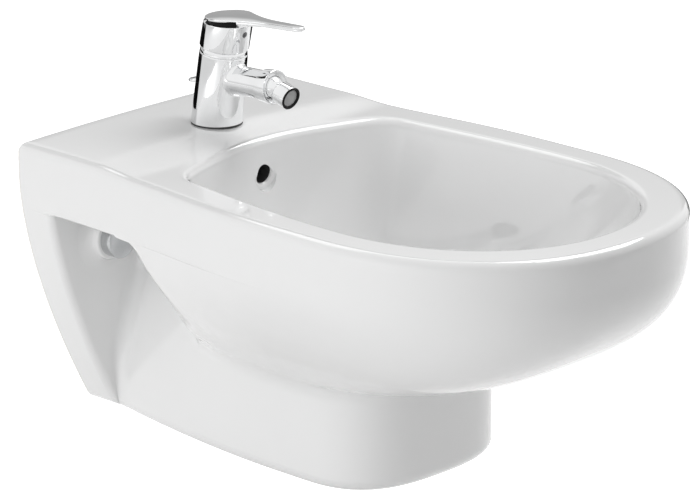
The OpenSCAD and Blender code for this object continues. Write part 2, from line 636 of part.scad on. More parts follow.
// Handle: a round block that is hollow under the dome, with the lever on top of it
block_low = tap_h + 3.6;
block_top = block_low + block_h;
block_lean = 4.5;
block_r = neck_r + 0.5;
lever_up = lean + lever_rise;
module lever_plate() {
    back_r = block_r - 0.3;
    near = 22;
    // plan of the lever: round at the back, drawn in towards a round tip
    linear_extrude(lever_t) union() {
        circle(r = back_r);
        polygon([[-back_r, 0], [-back_r * 0.86, -back_r * 0.5], [-lever_w * 0.72, -near - 8],
                 [-lever_w / 2, -near - 34], [-lever_w / 2 + 1, -lever_len + lever_w / 2],
                 [lever_w / 2 - 1, -lever_len + lever_w / 2], [lever_w / 2, -near - 34],
                 [lever_w * 0.72, -near - 8], [back_r * 0.86, -back_r * 0.5], [back_r, 0]]);
        translate([0, -lever_len + lever_w / 2]) circle(r = lever_w / 2 - 1);
    }
}
module lever_handle() {
    color("silver") difference() {
        union() {
            intersection() {
                tap_frame(block_low) rotate([block_lean, 0, 0]) translate([0, 0, -5])
                    cylinder(h = block_h + 20, r = block_r);
                tap_frame(block_top) rotate([-lever_up, 0, 0]) translate([-60, -60, -70])
                    cube([120, 120, 70]);
                tap_frame(block_low) translate([-60, -60, 0]) cube([120, 120, 70]);
            }
            tap_frame(block_top) rotate([-lever_up, 0, 0])
                translate([0, -block_h * tan(block_lean), -lever_t]) lever_plate();
        }
        tap_frame(pivot_s) sphere(r = dome_r + body_gap, $fn = 96);
        stem();
        // grub screw, with the wider hole for the index plug
        handle_front() cylinder(h = 60, r = grub_r);
        handle_front() translate([0, 0, front_at - 2.4]) cylinder(h = 60, r = plug_hole_r);
    }
}
grub_r = 2;
plug_hole_r = 2.7;
index_s = tap_h + 21;
front_at = block_r + (index_s - block_low) * tan(block_lean) - stem_w / 2;
module handle_front() {
    tap_frame(index_s) rotate([90, 0, 0]) translate([0, 0, stem_w / 2]) children();
}
module handle_grub_screw() {
    color("dimgray") difference() {
        handle_front() cylinder(h = 8, r = grub_r - run_gap);
        handle_front() translate([0, 0, 6]) cylinder(h = 4, r = 1, $fn = 6);
    }
}
module index_plug() {
    color("gray") handle_front() {
        translate([0, 0, front_at - 2.4]) cylinder(h = 2.4, r = plug_hole_r - run_gap);
        translate([0, 0, front_at - 6.4]) cylinder(h = 4, r = grub_r - run_gap);
    }
}

// Nozzle: a ball held by the collar, with the tube screwed to it
collar_len = 12;
collar_back = 8;                     // the rest reaches past the ball's middle and holds it
module spout_collar() {
    color("silver") difference() {
        spout_frame(spout_len - collar_back) cylinder(h = collar_len, r1 = collar_r - 0.6, r2 = collar_r);
        spout_frame(spout_len - collar_back - cut)
            cylinder(h = collar_back - seat_back + cut, r = spout_r + run_gap);
        spout_frame(spout_len) sphere(r = ball_r + body_gap);
        spout_frame(spout_len - seat_back - cut) cylinder(h = seat_back + cut, r = ball_r + body_gap);
    }
}
module ball_seal() {
    color("black") spout_frame(spout_len - seat_back - 2.6) difference() {
        cylinder(h = 2.2, r = ball_r + 0.5);
        translate([0, 0, seat_back + 2.6]) sphere(r = ball_r + 0.05);
    }
}
// Along the nozzle: local Z points out of it, from the ball's centre
module nozzle_frame(l = 0) {
    spout_frame(spout_len) rotate([rise + nozzle_tilt, 0, 0]) translate([0, 0, l]) children();
}
neck_len = 8;
module swivel_ball() {
    color("silver") difference() {
        union() {
            nozzle_frame() sphere(r = ball_r);
            nozzle_frame() cylinder(h = ball_r + neck_len, r = 7);
        }
        nozzle_frame(-20) cylinder(h = 60, r = 4.5);
        nozzle_frame() rotate([180, 0, 0]) cylinder(h = 20, r1 = 4.5, r2 = 9);
    }
}
tube_start = ball_r - 0.2;
module aerator_housing() {
    color("silver") difference() {
        union() {
            nozzle_frame(tube_start + 1.5) cylinder(h = nozzle_len - 1.5, r = nozzle_r);
            nozzle_frame(tube_start) cylinder(h = 1.5, r1 = nozzle_r - 1.5, r2 = nozzle_r);
        }
        nozzle_frame(tube_start - cut) cylinder(h = nozzle_len, r = 7 + fit_gap);
        nozzle_frame(ball_r + neck_len) cylinder(h = 30, r = nozzle_r - 1.2);
    }
}
module aerator_insert() {
    start = ball_r + neck_len;
    long = tube_start + nozzle_len - start;
    pitch = 2.4;                     // of the mesh's holes
    color("black") difference() {
        nozzle_frame(start) cylinder(h = long, r = nozzle_r - 1.2 - fit_gap);
        nozzle_frame(start - cut) cylinder(h = long - 2, r = 6.6);
        for (i = [-2:2]) for (j = [-2:2]) if (i * i + j * j < 7)
            nozzle_frame(start) translate([i * pitch, j * pitch, 0]) cylinder(h = 30, r = pitch / 3);
    }
}

// Tap fastening under the deck
under_deck = rim_z - wall_t - 2;
clamp_z = under_deck - pad_t - clamp_t;
tap_nut_z = clamp_z - tap_nut_h;
module tap_stud() {
    low = tap_nut_z - 6;
    color("goldenrod") translate([0, -tap_y - tap_stud_off, low])
        cylinder(h = deck_z + 11 - low, r = tap_stud_r);
}
module crescent(t) {
    linear_extrude(t) difference() {
        circle(r = tap_hole_r + 6);
        translate([-inlet_x - inlet_r - 3, -inlet_r - 0.6]) square([2 * (inlet_x + inlet_r + 3), 60]);
        translate([0, -tap_stud_off]) circle(r = tap_stud_r + fit_gap);
    }
}
module tap_rubber_washer() {
    color("black") translate([0, -tap_y, under_deck - pad_t]) crescent(pad_t);
}
module tap_clamp_washer() {
    color("silver") translate([0, -tap_y, clamp_z]) crescent(clamp_t);
}
module tap_nut() {
    color("goldenrod") translate([0, -tap_y - tap_stud_off, tap_nut_z]) difference() {
        cylinder(h = tap_nut_h, r = 7, $fn = 6);
        translate([0, 0, -cut]) cylinder(h = tap_nut_h + 2 * cut, r = tap_stud_r + run_gap);
    }
}

// Pop-up linkage: rod and knob, clevis and strap, then the ball rod
rod_down = 88;                       // the rod ends this far below the deck, along itself
clevis_h = 16;
ball_rod_z = rim_z - ball_rod_drop;
strap_off = rod_r + 1.6;             // the strap lies behind the rod
strap_hole_r = ball_rod_r + 1.3;     // loose, because the rod tilts in it
// distance along the rod's line down to the ball rod
cross_w = (deck_z - ball_rod_z) / cos(rod_tilt) - strap_off * tan(rod_tilt);
strap_low = cross_w + 8;
strap_y = tap_y - rod_off + cross_w * sin(rod_tilt) - strap_off * cos(rod_tilt);
knob_off = knob_r - rod_r + 0.3;     // the knob sits off the rod's line, clear of the tap's back
module lift_rod() {
    color("silver") rod_frame(-rod_down) cylinder(h = rod_down + knob_up + 2, r = rod_r);
}
module lift_knob() {
    color("silver") difference() {
        union() {
            rod_frame(knob_up) translate([0, knob_off, 0]) cylinder(h = knob_t - 1, r = knob_r);
            rod_frame(knob_up + knob_t - 1) translate([0, knob_off, 0])
                cylinder(h = 1, r1 = knob_r, r2 = knob_r - 1);
        }
        rod_frame(knob_up - cut) cylinder(h = cut + 2, r = rod_r);
    }
}
module rod_clevis() {
    color("goldenrod") difference() {
        rod_frame(-rod_down + 2) translate([-strap_w / 2, -rod_r - 3, 0])
            cube([strap_w, strap_off + rod_r + 3, clevis_h]);
        rod_frame(-rod_down - cut) cylinder(h = 40, r = rod_r + run_gap);
        rod_frame(-rod_down + 2 + clevis_h / 2) rotate([90, 0, 0]) cylinder(h = 20, r = 1.6);
    }
}
module clevis_screw() {
    color("silver") {
        rod_frame(-rod_down + 2 + clevis_h / 2) rotate([90, 0, 0]) translate([0, 0, rod_r + run_gap])
            cylinder(h = 7, r = 1.6 - run_gap);
        rod_frame(-rod_down + 2 + clevis_h / 2) rotate([90, 0, 0]) translate([0, 0, rod_r + 3 + fit_gap])
            cylinder(h = 2.4, r = 3.2);
    }
}
module rod_strap() {
    top = rod_down - 2 - clevis_h;
    color("silver") difference() {
        rod_frame(-strap_low) translate([-strap_w / 2, strap_off, 0])
            cube([strap_w, strap_t, strap_low - top]);
        rod_frame(-cross_w) translate([0, strap_off - cut, 0]) rotate([-90, 0, 0])
            cylinder(h = 5, r = strap_hole_r);
        for (i = [1:5]) rod_frame(-cross_w + 13 * i) translate([0, strap_off - cut, 0]) rotate([-90, 0, 0])
            cylinder(h = 5, r = ball_rod_r);
    }
}
rod_tip = 2;                         // the ball rod's tip passes the waste's axis by this much
module ball_rod() {
    color("silver") {
        translate([0, -waste_y - rod_tip, ball_rod_z]) rotate([-90, 0, 0])
            cylinder(h = waste_y + rod_tip - strap_y + 12, r = ball_rod_r);
        translate([0, -waste_y + pivot_y, ball_rod_z]) sphere(r = pivot_ball_r);
    }
}

// Waste: the flange and tube through the floor, and the body under it
floor_z = rim_z + seat_h;
gasket_t = 1.5;
flange_h = 2;
tube_in = waste_tube_r - tube_wall;
tube_len = 52;
flange_z = floor_z + gasket_t;
under_floor = floor_z - floor_t;
cone_t = 5;
slip_t = 2;
back_nut_h = 8;
body_top = under_floor - cone_t - slip_t - back_nut_h - 2;
body_low = body_top - waste_body_h;
body_r = waste_tube_r + 3;
module flange_gasket() {
    color("black") translate([0, -waste_y, floor_z]) difference() {
        cylinder(h = gasket_t, r = waste_flange_r - 1.5);
        translate([0, 0, -cut]) cylinder(h = gasket_t + 2 * cut, r = waste_tube_r + 0.5);
    }
}
module waste_flange() {
    color("silver") translate([0, -waste_y, flange_z]) difference() {
        union() {
            cylinder(h = flange_h, r = waste_flange_r - 1);
            translate([0, 0, flange_h / 2]) rotate_extrude()
                translate([waste_flange_r - 1, 0]) circle(r = flange_h / 2);
            translate([0, 0, flange_h - tube_len]) cylinder(h = tube_len, r = waste_tube_r);
        }
        translate([0, 0, flange_h - tube_len - cut]) cylinder(h = tube_len + 2 * cut, r = tube_in);
        translate([0, 0, flange_h - 1.2]) cylinder(h = 3, r1 = tube_in, r2 = tube_in + 6);
        // windows that let the overflow in
        for (a = [0:90:270]) rotate([0, 0, a])
            translate([0, 0, -channel_low - seat_h - gasket_t]) rotate([-90, 0, 0]) cylinder(h = 40, r = 3.6);
    }
}
stem_r = 3.4;
fin_t = 2;
plug_t = 2.6;
seat_gap = 0.4;                      // the shut plug stops this far over the flange's seat
plug_z = flange_z + flange_h + seat_gap + plug_open;
module waste_plug() {
    stem_low = ball_rod_z + ball_rod_r + body_gap;
    fin_top = plug_z - 2;
    fin_low = fin_top - 26;
    color("silver") {
        translate([0, -waste_y, plug_z]) cylinder(h = plug_t, r1 = plug_r + 1.6, r2 = plug_r);
        translate([0, -waste_y, plug_z + plug_t]) cylinder(h = 1, r1 = plug_r, r2 = plug_r - 5);
        // the stem stands on the ball rod with a narrow foot, which the rod's slope clears
        translate([0, -waste_y, stem_low]) cylinder(h = 2.5, r1 = 1.2, r2 = stem_r);
        translate([0, -waste_y, stem_low + 2.5]) cylinder(h = plug_z - stem_low - 2.5, r = stem_r);
        for (a = [45:90:315]) translate([0, -waste_y, fin_low]) rotate([0, 0, a])
            intersection() {
                translate([0, -fin_t / 2, 0]) cube([40, fin_t, fin_top - fin_low]);
                cylinder(h = fin_top - fin_low, r = tube_in - body_gap);
            }
    }
}
module plug_seal() {
    color("black") translate([0, -waste_y, plug_z - 2]) difference() {
        cylinder(h = 2, r = tube_in - 0.4);
        translate([0, 0, -cut]) cylinder(h = 2 + 2 * cut, r = stem_r + run_gap);
    }
}
module waste_cone_washer() {
    color("black") translate([0, -waste_y, under_floor - cone_t]) difference() {
        union() {
            cylinder(h = cone_t, r = boss_r - 4);
            translate([0, 0, cone_t]) cylinder(h = 2, r1 = waste_hole_r - 0.4, r2 = waste_tube_r + 0.6);
        }
        translate([0, 0, -cut]) cylinder(h = cone_t + 2 + 2 * cut, r = waste_tube_r + run_gap);
    }
}
module waste_slip_washer() {
    color("white") translate([0, -waste_y, under_floor - cone_t - slip_t]) difference() {
        cylinder(h = slip_t, r = boss_r - 5);
        translate([0, 0, -cut]) cylinder(h = slip_t + 2 * cut, r = waste_tube_r + run_gap);
    }
}
module waste_back_nut() {
    color("goldenrod") translate([0, -waste_y, under_floor - cone_t - slip_t - back_nut_h]) difference() {
        cylinder(h = back_nut_h, r = waste_tube_r + 9, $fn = 6);
        translate([0, 0, -cut]) cylinder(h = back_nut_h + 2 * cut, r = waste_tube_r + run_gap);
    }
}
pivot_nut_len = 10;
neck_r_out = pivot_ball_r + 2.6;
neck_bore_r = ball_rod_r + 2.8;      // room for the rod to tilt
body_spigot = 10;                    // threaded end of the body, for the tail nut
tail_shoulder = 3;                   // the spigot's wall
tail_in = tail_r - 1;                // drawn-in top of the pipe, inside the nut and the body
tail_wall = 1.4;
module pivot_frame(y = 0) {
    translate([0, -waste_y + y, ball_rod_z]) rotate([-90, 0, 0]) children();
}
module waste_body() {
    color("silver") difference() {
        union() {
            translate([0, -waste_y, body_low]) cylinder(h = waste_body_h, r = body_r);
            pivot_frame() cylinder(h = pivot_y + 1, r = neck_r_out);
            translate([0, -waste_y, body_low - body_spigot])
                cylinder(h = body_spigot, r = tail_r + tail_shoulder);
        }
        translate([0, -waste_y, body_low + 4]) cylinder(h = waste_body_h, r = waste_tube_r + run_gap);
        translate([0, -waste_y, body_low - 20]) cylinder(h = 40, r = tail_in + fit_gap);
        pivot_frame() cylinder(h = pivot_y, r = neck_bore_r);
        pivot_frame(pivot_y) sphere(r = pivot_ball_r + run_gap);
    }
}
module pivot_seal() {
    color("black") difference() {
        pivot_frame(pivot_y + 1) cylinder(h = 2, r = neck_r_out);
        pivot_frame(pivot_y) sphere(r = pivot_ball_r + run_gap);
    }
}
module ball_nut() {
    color("goldenrod") difference() {
        pivot_frame(pivot_y + 5 - pivot_nut_len) cylinder(h = pivot_nut_len, r = pivot_ball_r + 5);
        pivot_frame(pivot_y - pivot_nut_len) cylinder(h = pivot_nut_len + 3, r = neck_r_out + run_gap);
        pivot_frame(pivot_y) sphere(r = pivot_ball_r + run_gap);
        pivot_frame(pivot_y) cylinder(h = 12, r1 = 3, r2 = 6.6);
    }
}
tail_top = body_low - body_spigot;
tail_free = tail_len - body_spigot - 8;    // bare pipe under the nut, for a trap
module tail_pipe() {
    color("silver") translate([0, -waste_y, body_low - tail_len]) difference() {
        union() {
            cylinder(h = tail_free, r = tail_r);
            cylinder(h = tail_len + 3, r = tail_in);
        }
        translate([0, 0, -cut]) cylinder(h = tail_len + 3 + 2 * cut, r = tail_in - tail_wall);
    }
}
tail_seal_t = 3;
module tail_washer() {
    color("black") translate([0, -waste_y, tail_top - tail_seal_t]) difference() {
        cylinder(h = tail_seal_t, r = tail_r + tail_shoulder);
        translate([0, 0, -cut]) cylinder(h = tail_seal_t + 2 * cut, r = tail_in + run_gap);
    }
}
tail_nut_h = 14;
tail_lip = 4;                        // inward lip under the washer
module tail_nut() {
    color("silver") translate([0, -waste_y, tail_top - tail_seal_t - tail_lip]) difference() {
        cylinder(h = tail_nut_h, r = tail_r + 6.5, $fn = 8);
        translate([0, 0, -cut]) cylinder(h = tail_nut_h + 2 * cut, r = tail_r + run_gap);
        translate([0, 0, tail_lip]) cylinder(h = tail_nut_h, r = tail_r + tail_shoulder + run_gap);
    }
}

// Wall fixings: a sleeve through the flange, then washer, nut and cap in the side recess
head_t = 1.5;
head_r = sleeve_r + 3;
washer_t = 1.5;
fixing_nut_h = 6;
fixing_nut_r = 10.6;
module fixing_sleeves() {
    color("white") at_fixings() difference() {
        union() {
            cylinder(h = face_d, r = sleeve_r - fit_gap);
            translate([0, 0, face_d]) cylinder(h = head_t, r = head_r);
        }
        translate([0, 0, -cut]) cylinder(h = face_d + head_t + 2 * cut, r = stud_hole_r);
    }
}
module fixing_washers() {
    color("silver") at_fixings() translate([0, 0, face_d + head_t]) difference() {
        cylinder(h = washer_t, r = head_r);
        translate([0, 0, -cut]) cylinder(h = washer_t + 2 * cut, r = stud_hole_r);
    }
}
module fixing_nuts() {
    color("silver") at_fixings() translate([0, 0, face_d + head_t + washer_t]) difference() {
        cylinder(h = fixing_nut_h, r = fixing_nut_r, $fn = 6);
        translate([0, 0, -cut]) cylinder(h = fixing_nut_h + 2 * cut, r = stud_hole_r);
    }
}
cap_edge = 2;                        // slope round the cap's end
cap_wall = 1.6;
module fixing_caps() {
    color("silver") at_fixings() translate([0, 0, face_d]) difference() {
        union() {
            cylinder(h = cap_h - cap_edge, r = cap_r);
            translate([0, 0, cap_h - cap_edge]) cylinder(h = cap_edge, r1 = cap_r, r2 = cap_r - cap_edge);
        }
        translate([0, 0, -cut]) cylinder(h = cap_h - cap_edge + cut, r = cap_r - cap_wall);
    }
}

bidet_body();
tap_base_seal();
tap_body();
mixing_cartridge();
cartridge_rotor();
cartridge_spindle();
cartridge_nut();
dome_ring();
lever_handle();
handle_grub_screw();
index_plug();
spout_collar();
ball_seal();
swivel_ball();
aerator_housing();
aerator_insert();
tap_stud();
tap_rubber_washer();
tap_clamp_washer();
tap_nut();
lift_rod();
lift_knob();
rod_clevis();
clevis_screw();
rod_strap();
ball_rod();
ball_nut();
pivot_seal();
waste_flange();
flange_gasket();
waste_plug();
plug_seal();
waste_cone_washer();
waste_slip_washer();
waste_back_nut();
waste_body();
tail_nut();
tail_washer();
tail_pipe();
fixing_sleeves();
fixing_washers();
fixing_nuts();
fixing_caps();
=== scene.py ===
import json
import math

import bpy
from mathutils import Matrix, Vector


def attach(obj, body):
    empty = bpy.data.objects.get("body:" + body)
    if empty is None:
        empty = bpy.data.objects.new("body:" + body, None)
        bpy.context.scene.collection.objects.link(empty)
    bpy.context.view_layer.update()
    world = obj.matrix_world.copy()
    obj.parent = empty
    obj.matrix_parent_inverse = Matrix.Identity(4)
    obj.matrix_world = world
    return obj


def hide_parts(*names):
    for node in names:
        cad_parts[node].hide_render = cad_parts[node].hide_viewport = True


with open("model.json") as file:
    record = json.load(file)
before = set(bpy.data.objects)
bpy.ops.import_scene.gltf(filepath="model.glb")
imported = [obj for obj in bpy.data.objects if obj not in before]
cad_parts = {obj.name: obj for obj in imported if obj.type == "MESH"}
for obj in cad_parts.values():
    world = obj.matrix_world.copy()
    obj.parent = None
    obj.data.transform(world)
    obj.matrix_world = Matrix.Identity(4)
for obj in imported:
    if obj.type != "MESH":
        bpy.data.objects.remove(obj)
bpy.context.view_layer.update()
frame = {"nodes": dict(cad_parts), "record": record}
bpy.ops.object.select_all(action="DESELECT")
print("frame loaded:", len(frame["nodes"]), "nodes")

mm = 0.001

# camera, fitted to the photograph's rim and tap
cameraSetup = {
    "azimuth": -46.25,  # degrees round from straight in front, negative towards -X
    "elevation": 17.75,
    "distance": 4.0,
    "target": (-0.1766, -0.4119, 0.088),
    "lens": 257.14,
    "sensor": 36,
    "farthest": 50,
}


def addCamera(setup):
    azimuth, elevation = math.radians(setup["azimuth"]), math.radians(setup["elevation"])
    back = Vector((math.sin(azimuth) * math.cos(elevation),
                   -math.cos(azimuth) * math.cos(elevation), math.sin(elevation)))
    bpy.ops.object.camera_add(location=Vector(setup["target"]) + back * setup["distance"],
                              rotation=back.to_track_quat("Z", "Y").to_euler())
    camera = bpy.context.object
    camera.data.lens = setup["lens"]
    camera.data.sensor_width = setup["sensor"]
    camera.data.clip_end = setup["farthest"]
    bpy.context.scene.camera = camera


addCamera(cameraSetup)
print("camera placed")


# finishes
class Value:
    # a number that comes out of a node, so that maths on it reads as plain expressions
    def __init__(self, nodes, socket):
        self.nodes, self.socket = nodes, socket

    def maths(self, operation, first, second):
        return self.nodes.value(self.nodes.node("ShaderNodeMath", {"operation": operation}, first, second))

    def __add__(self, other):
        return self.maths("ADD", self, other)

    __radd__ = __add__

    def __sub__(self, other):
        return self.maths("SUBTRACT", self, other)

    def __rsub__(self, other):
        return self.maths("SUBTRACT", other, self)

    def __mul__(self, other):
        return self.maths("MULTIPLY", self, other)

    __rmul__ = __mul__


class Nodes:
    # the nodes of a material or of the world, with a single way to add any of them
    def __init__(self, tree):
        self.tree = tree

    def feed(self, slot, term):
        # a link where the term comes out of a node, and a fixed value where it doesn't
        if isinstance(term, Value):
            term = term.socket
        if isinstance(term, bpy.types.NodeSocket):
            self.tree.links.new(term, slot)
        elif isinstance(term, tuple) and slot.type == "RGBA":
            slot.default_value = (*term, 1)
        else:
            slot.default_value = term

    def node(self, kind, settings=None, *terms, **sockets):
        # terms go into the first sockets in their order, and the other sockets are named
        made = self.tree.nodes.new(kind)
        for key, setting in (settings or {}).items():
            if key == "stops":
                while len(made.color_ramp.elements) < len(setting):
                    made.color_ramp.elements.new(0.5)
                for element, (at, tone) in zip(made.color_ramp.elements, setting):
                    element.position = at
                    element.color = (tone, tone, tone, 1)
            else:
                setattr(made, key, setting)
        for slot, term in zip(made.inputs, terms):
            self.feed(slot, term)
        for key, term in sockets.items():
            self.feed(made.inputs[key.replace("_", " ")], term)
        return made

    def value(self, made, output=0):
        return Value(self, made.outputs[output])


class Finish(Nodes):
    # one material, with its shader and the object's own coordinates
    def __init__(self, name):
        self.material = bpy.data.materials.new(name)
        self.material.use_nodes = True
        super().__init__(self.material.node_tree)
        self.shader = self.tree.nodes["Principled BSDF"]
        self.place = self.node("ShaderNodeTexCoord").outputs["Object"]

    def noise(self, scale, detail=2.0, roughness=0.5):
        return self.value(self.node("ShaderNodeTexNoise", Vector=self.place, Scale=scale,
                                    Detail=detail, Roughness=roughness), "Fac")

    def step(self, amount, low, high):
        return self.value(self.node("ShaderNodeMapRange", {"interpolation_type": "SMOOTHSTEP"},
                                    Value=amount, From_Min=low, From_Max=high))

    def blend(self, factor, first, second):
        mixer = self.node("ShaderNodeMix", {"data_type": "RGBA"})
        for slot, term in zip((0, 6, 7), (factor, first, second)):
            self.feed(mixer.inputs[slot], term)
        return mixer.outputs[2]

    def bump(self, height, distance):
        made = self.node("ShaderNodeBump", Height=height, Distance=distance, Strength=1.0)
        self.wire(Normal=made.outputs[0])

    def wire(self, **sockets):
        for key, term in sockets.items():
            self.feed(self.shader.inputs[key.replace("_", " ")], term)

    def surface(self, made):
        self.feed(self.tree.nodes["Material Output"].inputs[0], made.outputs[0])


def glazedChina():
    look = {
        "white": (0.865, 0.866, 0.865), "pooled": (0.84, 0.842, 0.842), "clay": (0.72, 0.69, 0.64),
        "wallFace": (-0.0012, -0.0004), "footFace": (0.1641, 0.1648),  # where the glaze ends, in metres
        "gloss": 0.055, "peel": 0.00004,
    }
    finish = Finish("glazed china")
    split = finish.node("ShaderNodeSeparateXYZ", Vector=finish.place)
    depth, height = finish.value(split, "Y"), finish.value(split, "Z")
    bare = finish.step(depth, *look["wallFace"]) + finish.step(0 - height, *look["footFace"])
    glaze = finish.blend(finish.noise(9, 3), look["white"], look["pooled"])
    grain, ripple = finish.noise(900, 4, 0.6), finish.noise(160, 2)
    finish.wire(Base_Color=finish.blend(bare, glaze, look["clay"]),
                Roughness=look["gloss"] + 0.05 * finish.noise(60, 3) + 0.6 * bare,
                Coat_Weight=1 - bare, Coat_Roughness=0.03, IOR=1.5)
    finish.bump(0.25 * ripple + finish.noise(22, 1) + bare * grain * 2, look["peel"])
    return finish.material


def clay(name, light, dark, patch, rough, spread):
    finish = Finish(name)
    finish.wire(Base_Color=finish.blend(finish.noise(*patch), light, dark),
                Roughness=rough + spread * finish.noise(300, 3))
    return finish


def bareClay():
    finish = clay("bare fired clay", (0.78, 0.76, 0.72), (0.66, 0.63, 0.58), (40, 5), 0.7, 0.2)
    finish.bump(finish.noise(500, 5, 0.6), 0.0003)
    return finish.material


def overflowPaintedShade():
    # a near-black colour as painted shade on the faces inside the overflow hole and its channel
    light, dark = (0.03, 0.03, 0.03), (0.012, 0.012, 0.012)
    return clay("painted shade inside the overflow", light, dark, (80, 3), 0.8, 0.1).material


def metal(name, tone, worn, shine, wear, scratch=0.00001):
    finish = Finish(name)
    smudge, speck = finish.noise(45, 4), finish.noise(700, 2)
    finish.wire(Base_Color=finish.blend(finish.step(smudge, 0.35, 0.75), tone, worn),
                Metallic=1.0, Roughness=shine + wear * smudge * speck)
    finish.bump(finish.noise(260, 3), scratch)
    return finish.material


def soft(name, tone, pale, rough, grain, depth, shine=0.5):
    finish = Finish(name)
    finish.wire(Base_Color=finish.blend(finish.noise(grain / 8, 4), tone, pale),
                Specular_IOR_Level=shine, Roughness=rough + 0.12 * finish.noise(grain / 2, 3))
    finish.bump(finish.noise(grain, 4), depth)
    return finish.material


finishes = {
    "glaze": glazedChina(),
    "clay": bareClay(),
    "shaded": overflowPaintedShade(),
    "chrome": metal("polished chrome", (0.86, 0.865, 0.87), (0.82, 0.825, 0.83), 0.02, 0.12, 0.000004),
    "steel": metal("plain steel", (0.56, 0.56, 0.56), (0.46, 0.46, 0.45), 0.24, 0.3, 0.00002),
    "brass": metal("turned brass", (0.78, 0.6, 0.28), (0.55, 0.4, 0.18), 0.18, 0.3, 0.00002),
    "rubber": soft("black rubber", (0.02, 0.02, 0.02), (0.05, 0.05, 0.05), 0.55, 900, 0.00005),
    "white_plastic": soft("white moulded plastic", (0.8, 0.8, 0.78), (0.74, 0.74, 0.72), 0.35, 600, 0.00002),
    # black for the aerator's moulded plastic, and also painted shade in the gap under the lever
    "black_plastic": soft("black plastic and painted shade", (0.006, 0.006, 0.006), (0.012, 0.012, 0.012),
                          0.3, 800, 0.00002, 0.12),
    "grey_plastic": soft("dark grey plastic", (0.1, 0.1, 0.105), (0.14, 0.14, 0.145), 0.25, 700, 0.00001),
    "mesh": metal("steel mesh", (0.5, 0.5, 0.5), (0.4, 0.4, 0.4), 0.35, 0.2),
    "cap_plastic": metal("plated plastic cap", (0.6, 0.61, 0.62), (0.5, 0.51, 0.52), 0.16, 0.2),
}
print("finishes made:", len(finishes))

slotOf = {row["node"]: row["material_slot"] for row in frame["record"]["subparts"]}
for nodeName, nodeObject in frame["nodes"].items():
    nodeObject.data.materials.clear()
    nodeObject.data.materials.append(finishes[slotOf[nodeName]])


# ways of making pieces
def only(piece):
    bpy.ops.object.select_all(action="DESELECT")
    piece.select_set(True)
    bpy.context.view_layer.objects.active = piece
    return piece


def apply(piece, kind, **settings):
    only(piece)
    modifier = piece.modifiers.new(kind.title(), kind)
    for key, setting in settings.items():
        setattr(modifier, key, setting)
    bpy.ops.object.modifier_apply(modifier=modifier.name)
    return piece


def give(piece, *names):
    for name in names:
        piece.data.materials.append(finishes[name])
    return piece


def coat(piece, finishName, faces):
    number = piece.data.materials.find(finishes[finishName].name)
    for face in faces:
        face.material_index = number


def cutAway(piece, tool, finishName=None, operation="DIFFERENCE"):
    # the faces that the tool leaves take the named finish, or else the piece's first
    tool.data.materials.clear()
    for material in piece.data.materials:
        tool.data.materials.append(material)
    if finishName:
        coat(tool, finishName, tool.data.polygons)
    apply(piece, "BOOLEAN", object=tool, operation=operation, solver="MANIFOLD")
    bpy.data.objects.remove(tool)


def addOn(piece, tool, finishName=None):
    cutAway(piece, tool, finishName, "UNION")


def bevelled(piece, width):
    return apply(piece, "BEVEL", width=width * mm, segments=4, limit_method="ANGLE",
                 angle_limit=math.radians(40))


def softened(piece, spot, radius, times):
    # eases a corner and its mirror image, fading out to nothing at the radius
    group = piece.vertex_groups.new(name="soft")
    for vertex in piece.data.vertices:
        x, y, z = vertex.co / mm
        share = (Vector((abs(x), y, z)) - Vector(spot)).length / radius
        if share < 1:
            group.add([vertex.index], 1 - share * share, "REPLACE")
    apply(piece, "SMOOTH", factor=0.5, iterations=times, vertex_group="soft")
    piece.vertex_groups.clear()


def joined(first, second):
    only(first)
    second.select_set(True)
    bpy.ops.object.join()
    return first


def placed(piece, place):
    piece.data.transform(place)
    return piece


def fromPoints(name, points, faces):
    mesh = bpy.data.meshes.new(name)
    mesh.from_pydata(points, [], faces)
    piece = bpy.data.objects.new(name, mesh)
    bpy.context.scene.collection.objects.link(piece)
    return only(piece)


def editAll():
    bpy.ops.object.mode_set(mode="EDIT")
    bpy.ops.mesh.select_all(action="SELECT")


def editDone():
    # leaves edit mode with every face pointing outwards
    bpy.ops.mesh.select_all(action="SELECT")
    bpy.ops.mesh.normals_make_consistent(inside=False)
    bpy.ops.object.mode_set(mode="OBJECT")


def pulled(x, y, z):
    bpy.ops.mesh.extrude_region_move(TRANSFORM_OT_translate={"value": (x, y, z)})


def smoothShade(piece, angle=35):
    only(piece)
    bpy.ops.object.shade_smooth_by_angle(angle=math.radians(angle))
    return piece


def finishPiece(piece, body, slotName, *replaced):
    if not piece.data.materials:
        give(piece, slotName)
    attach(piece, body)
    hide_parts(*replaced)
    return piece


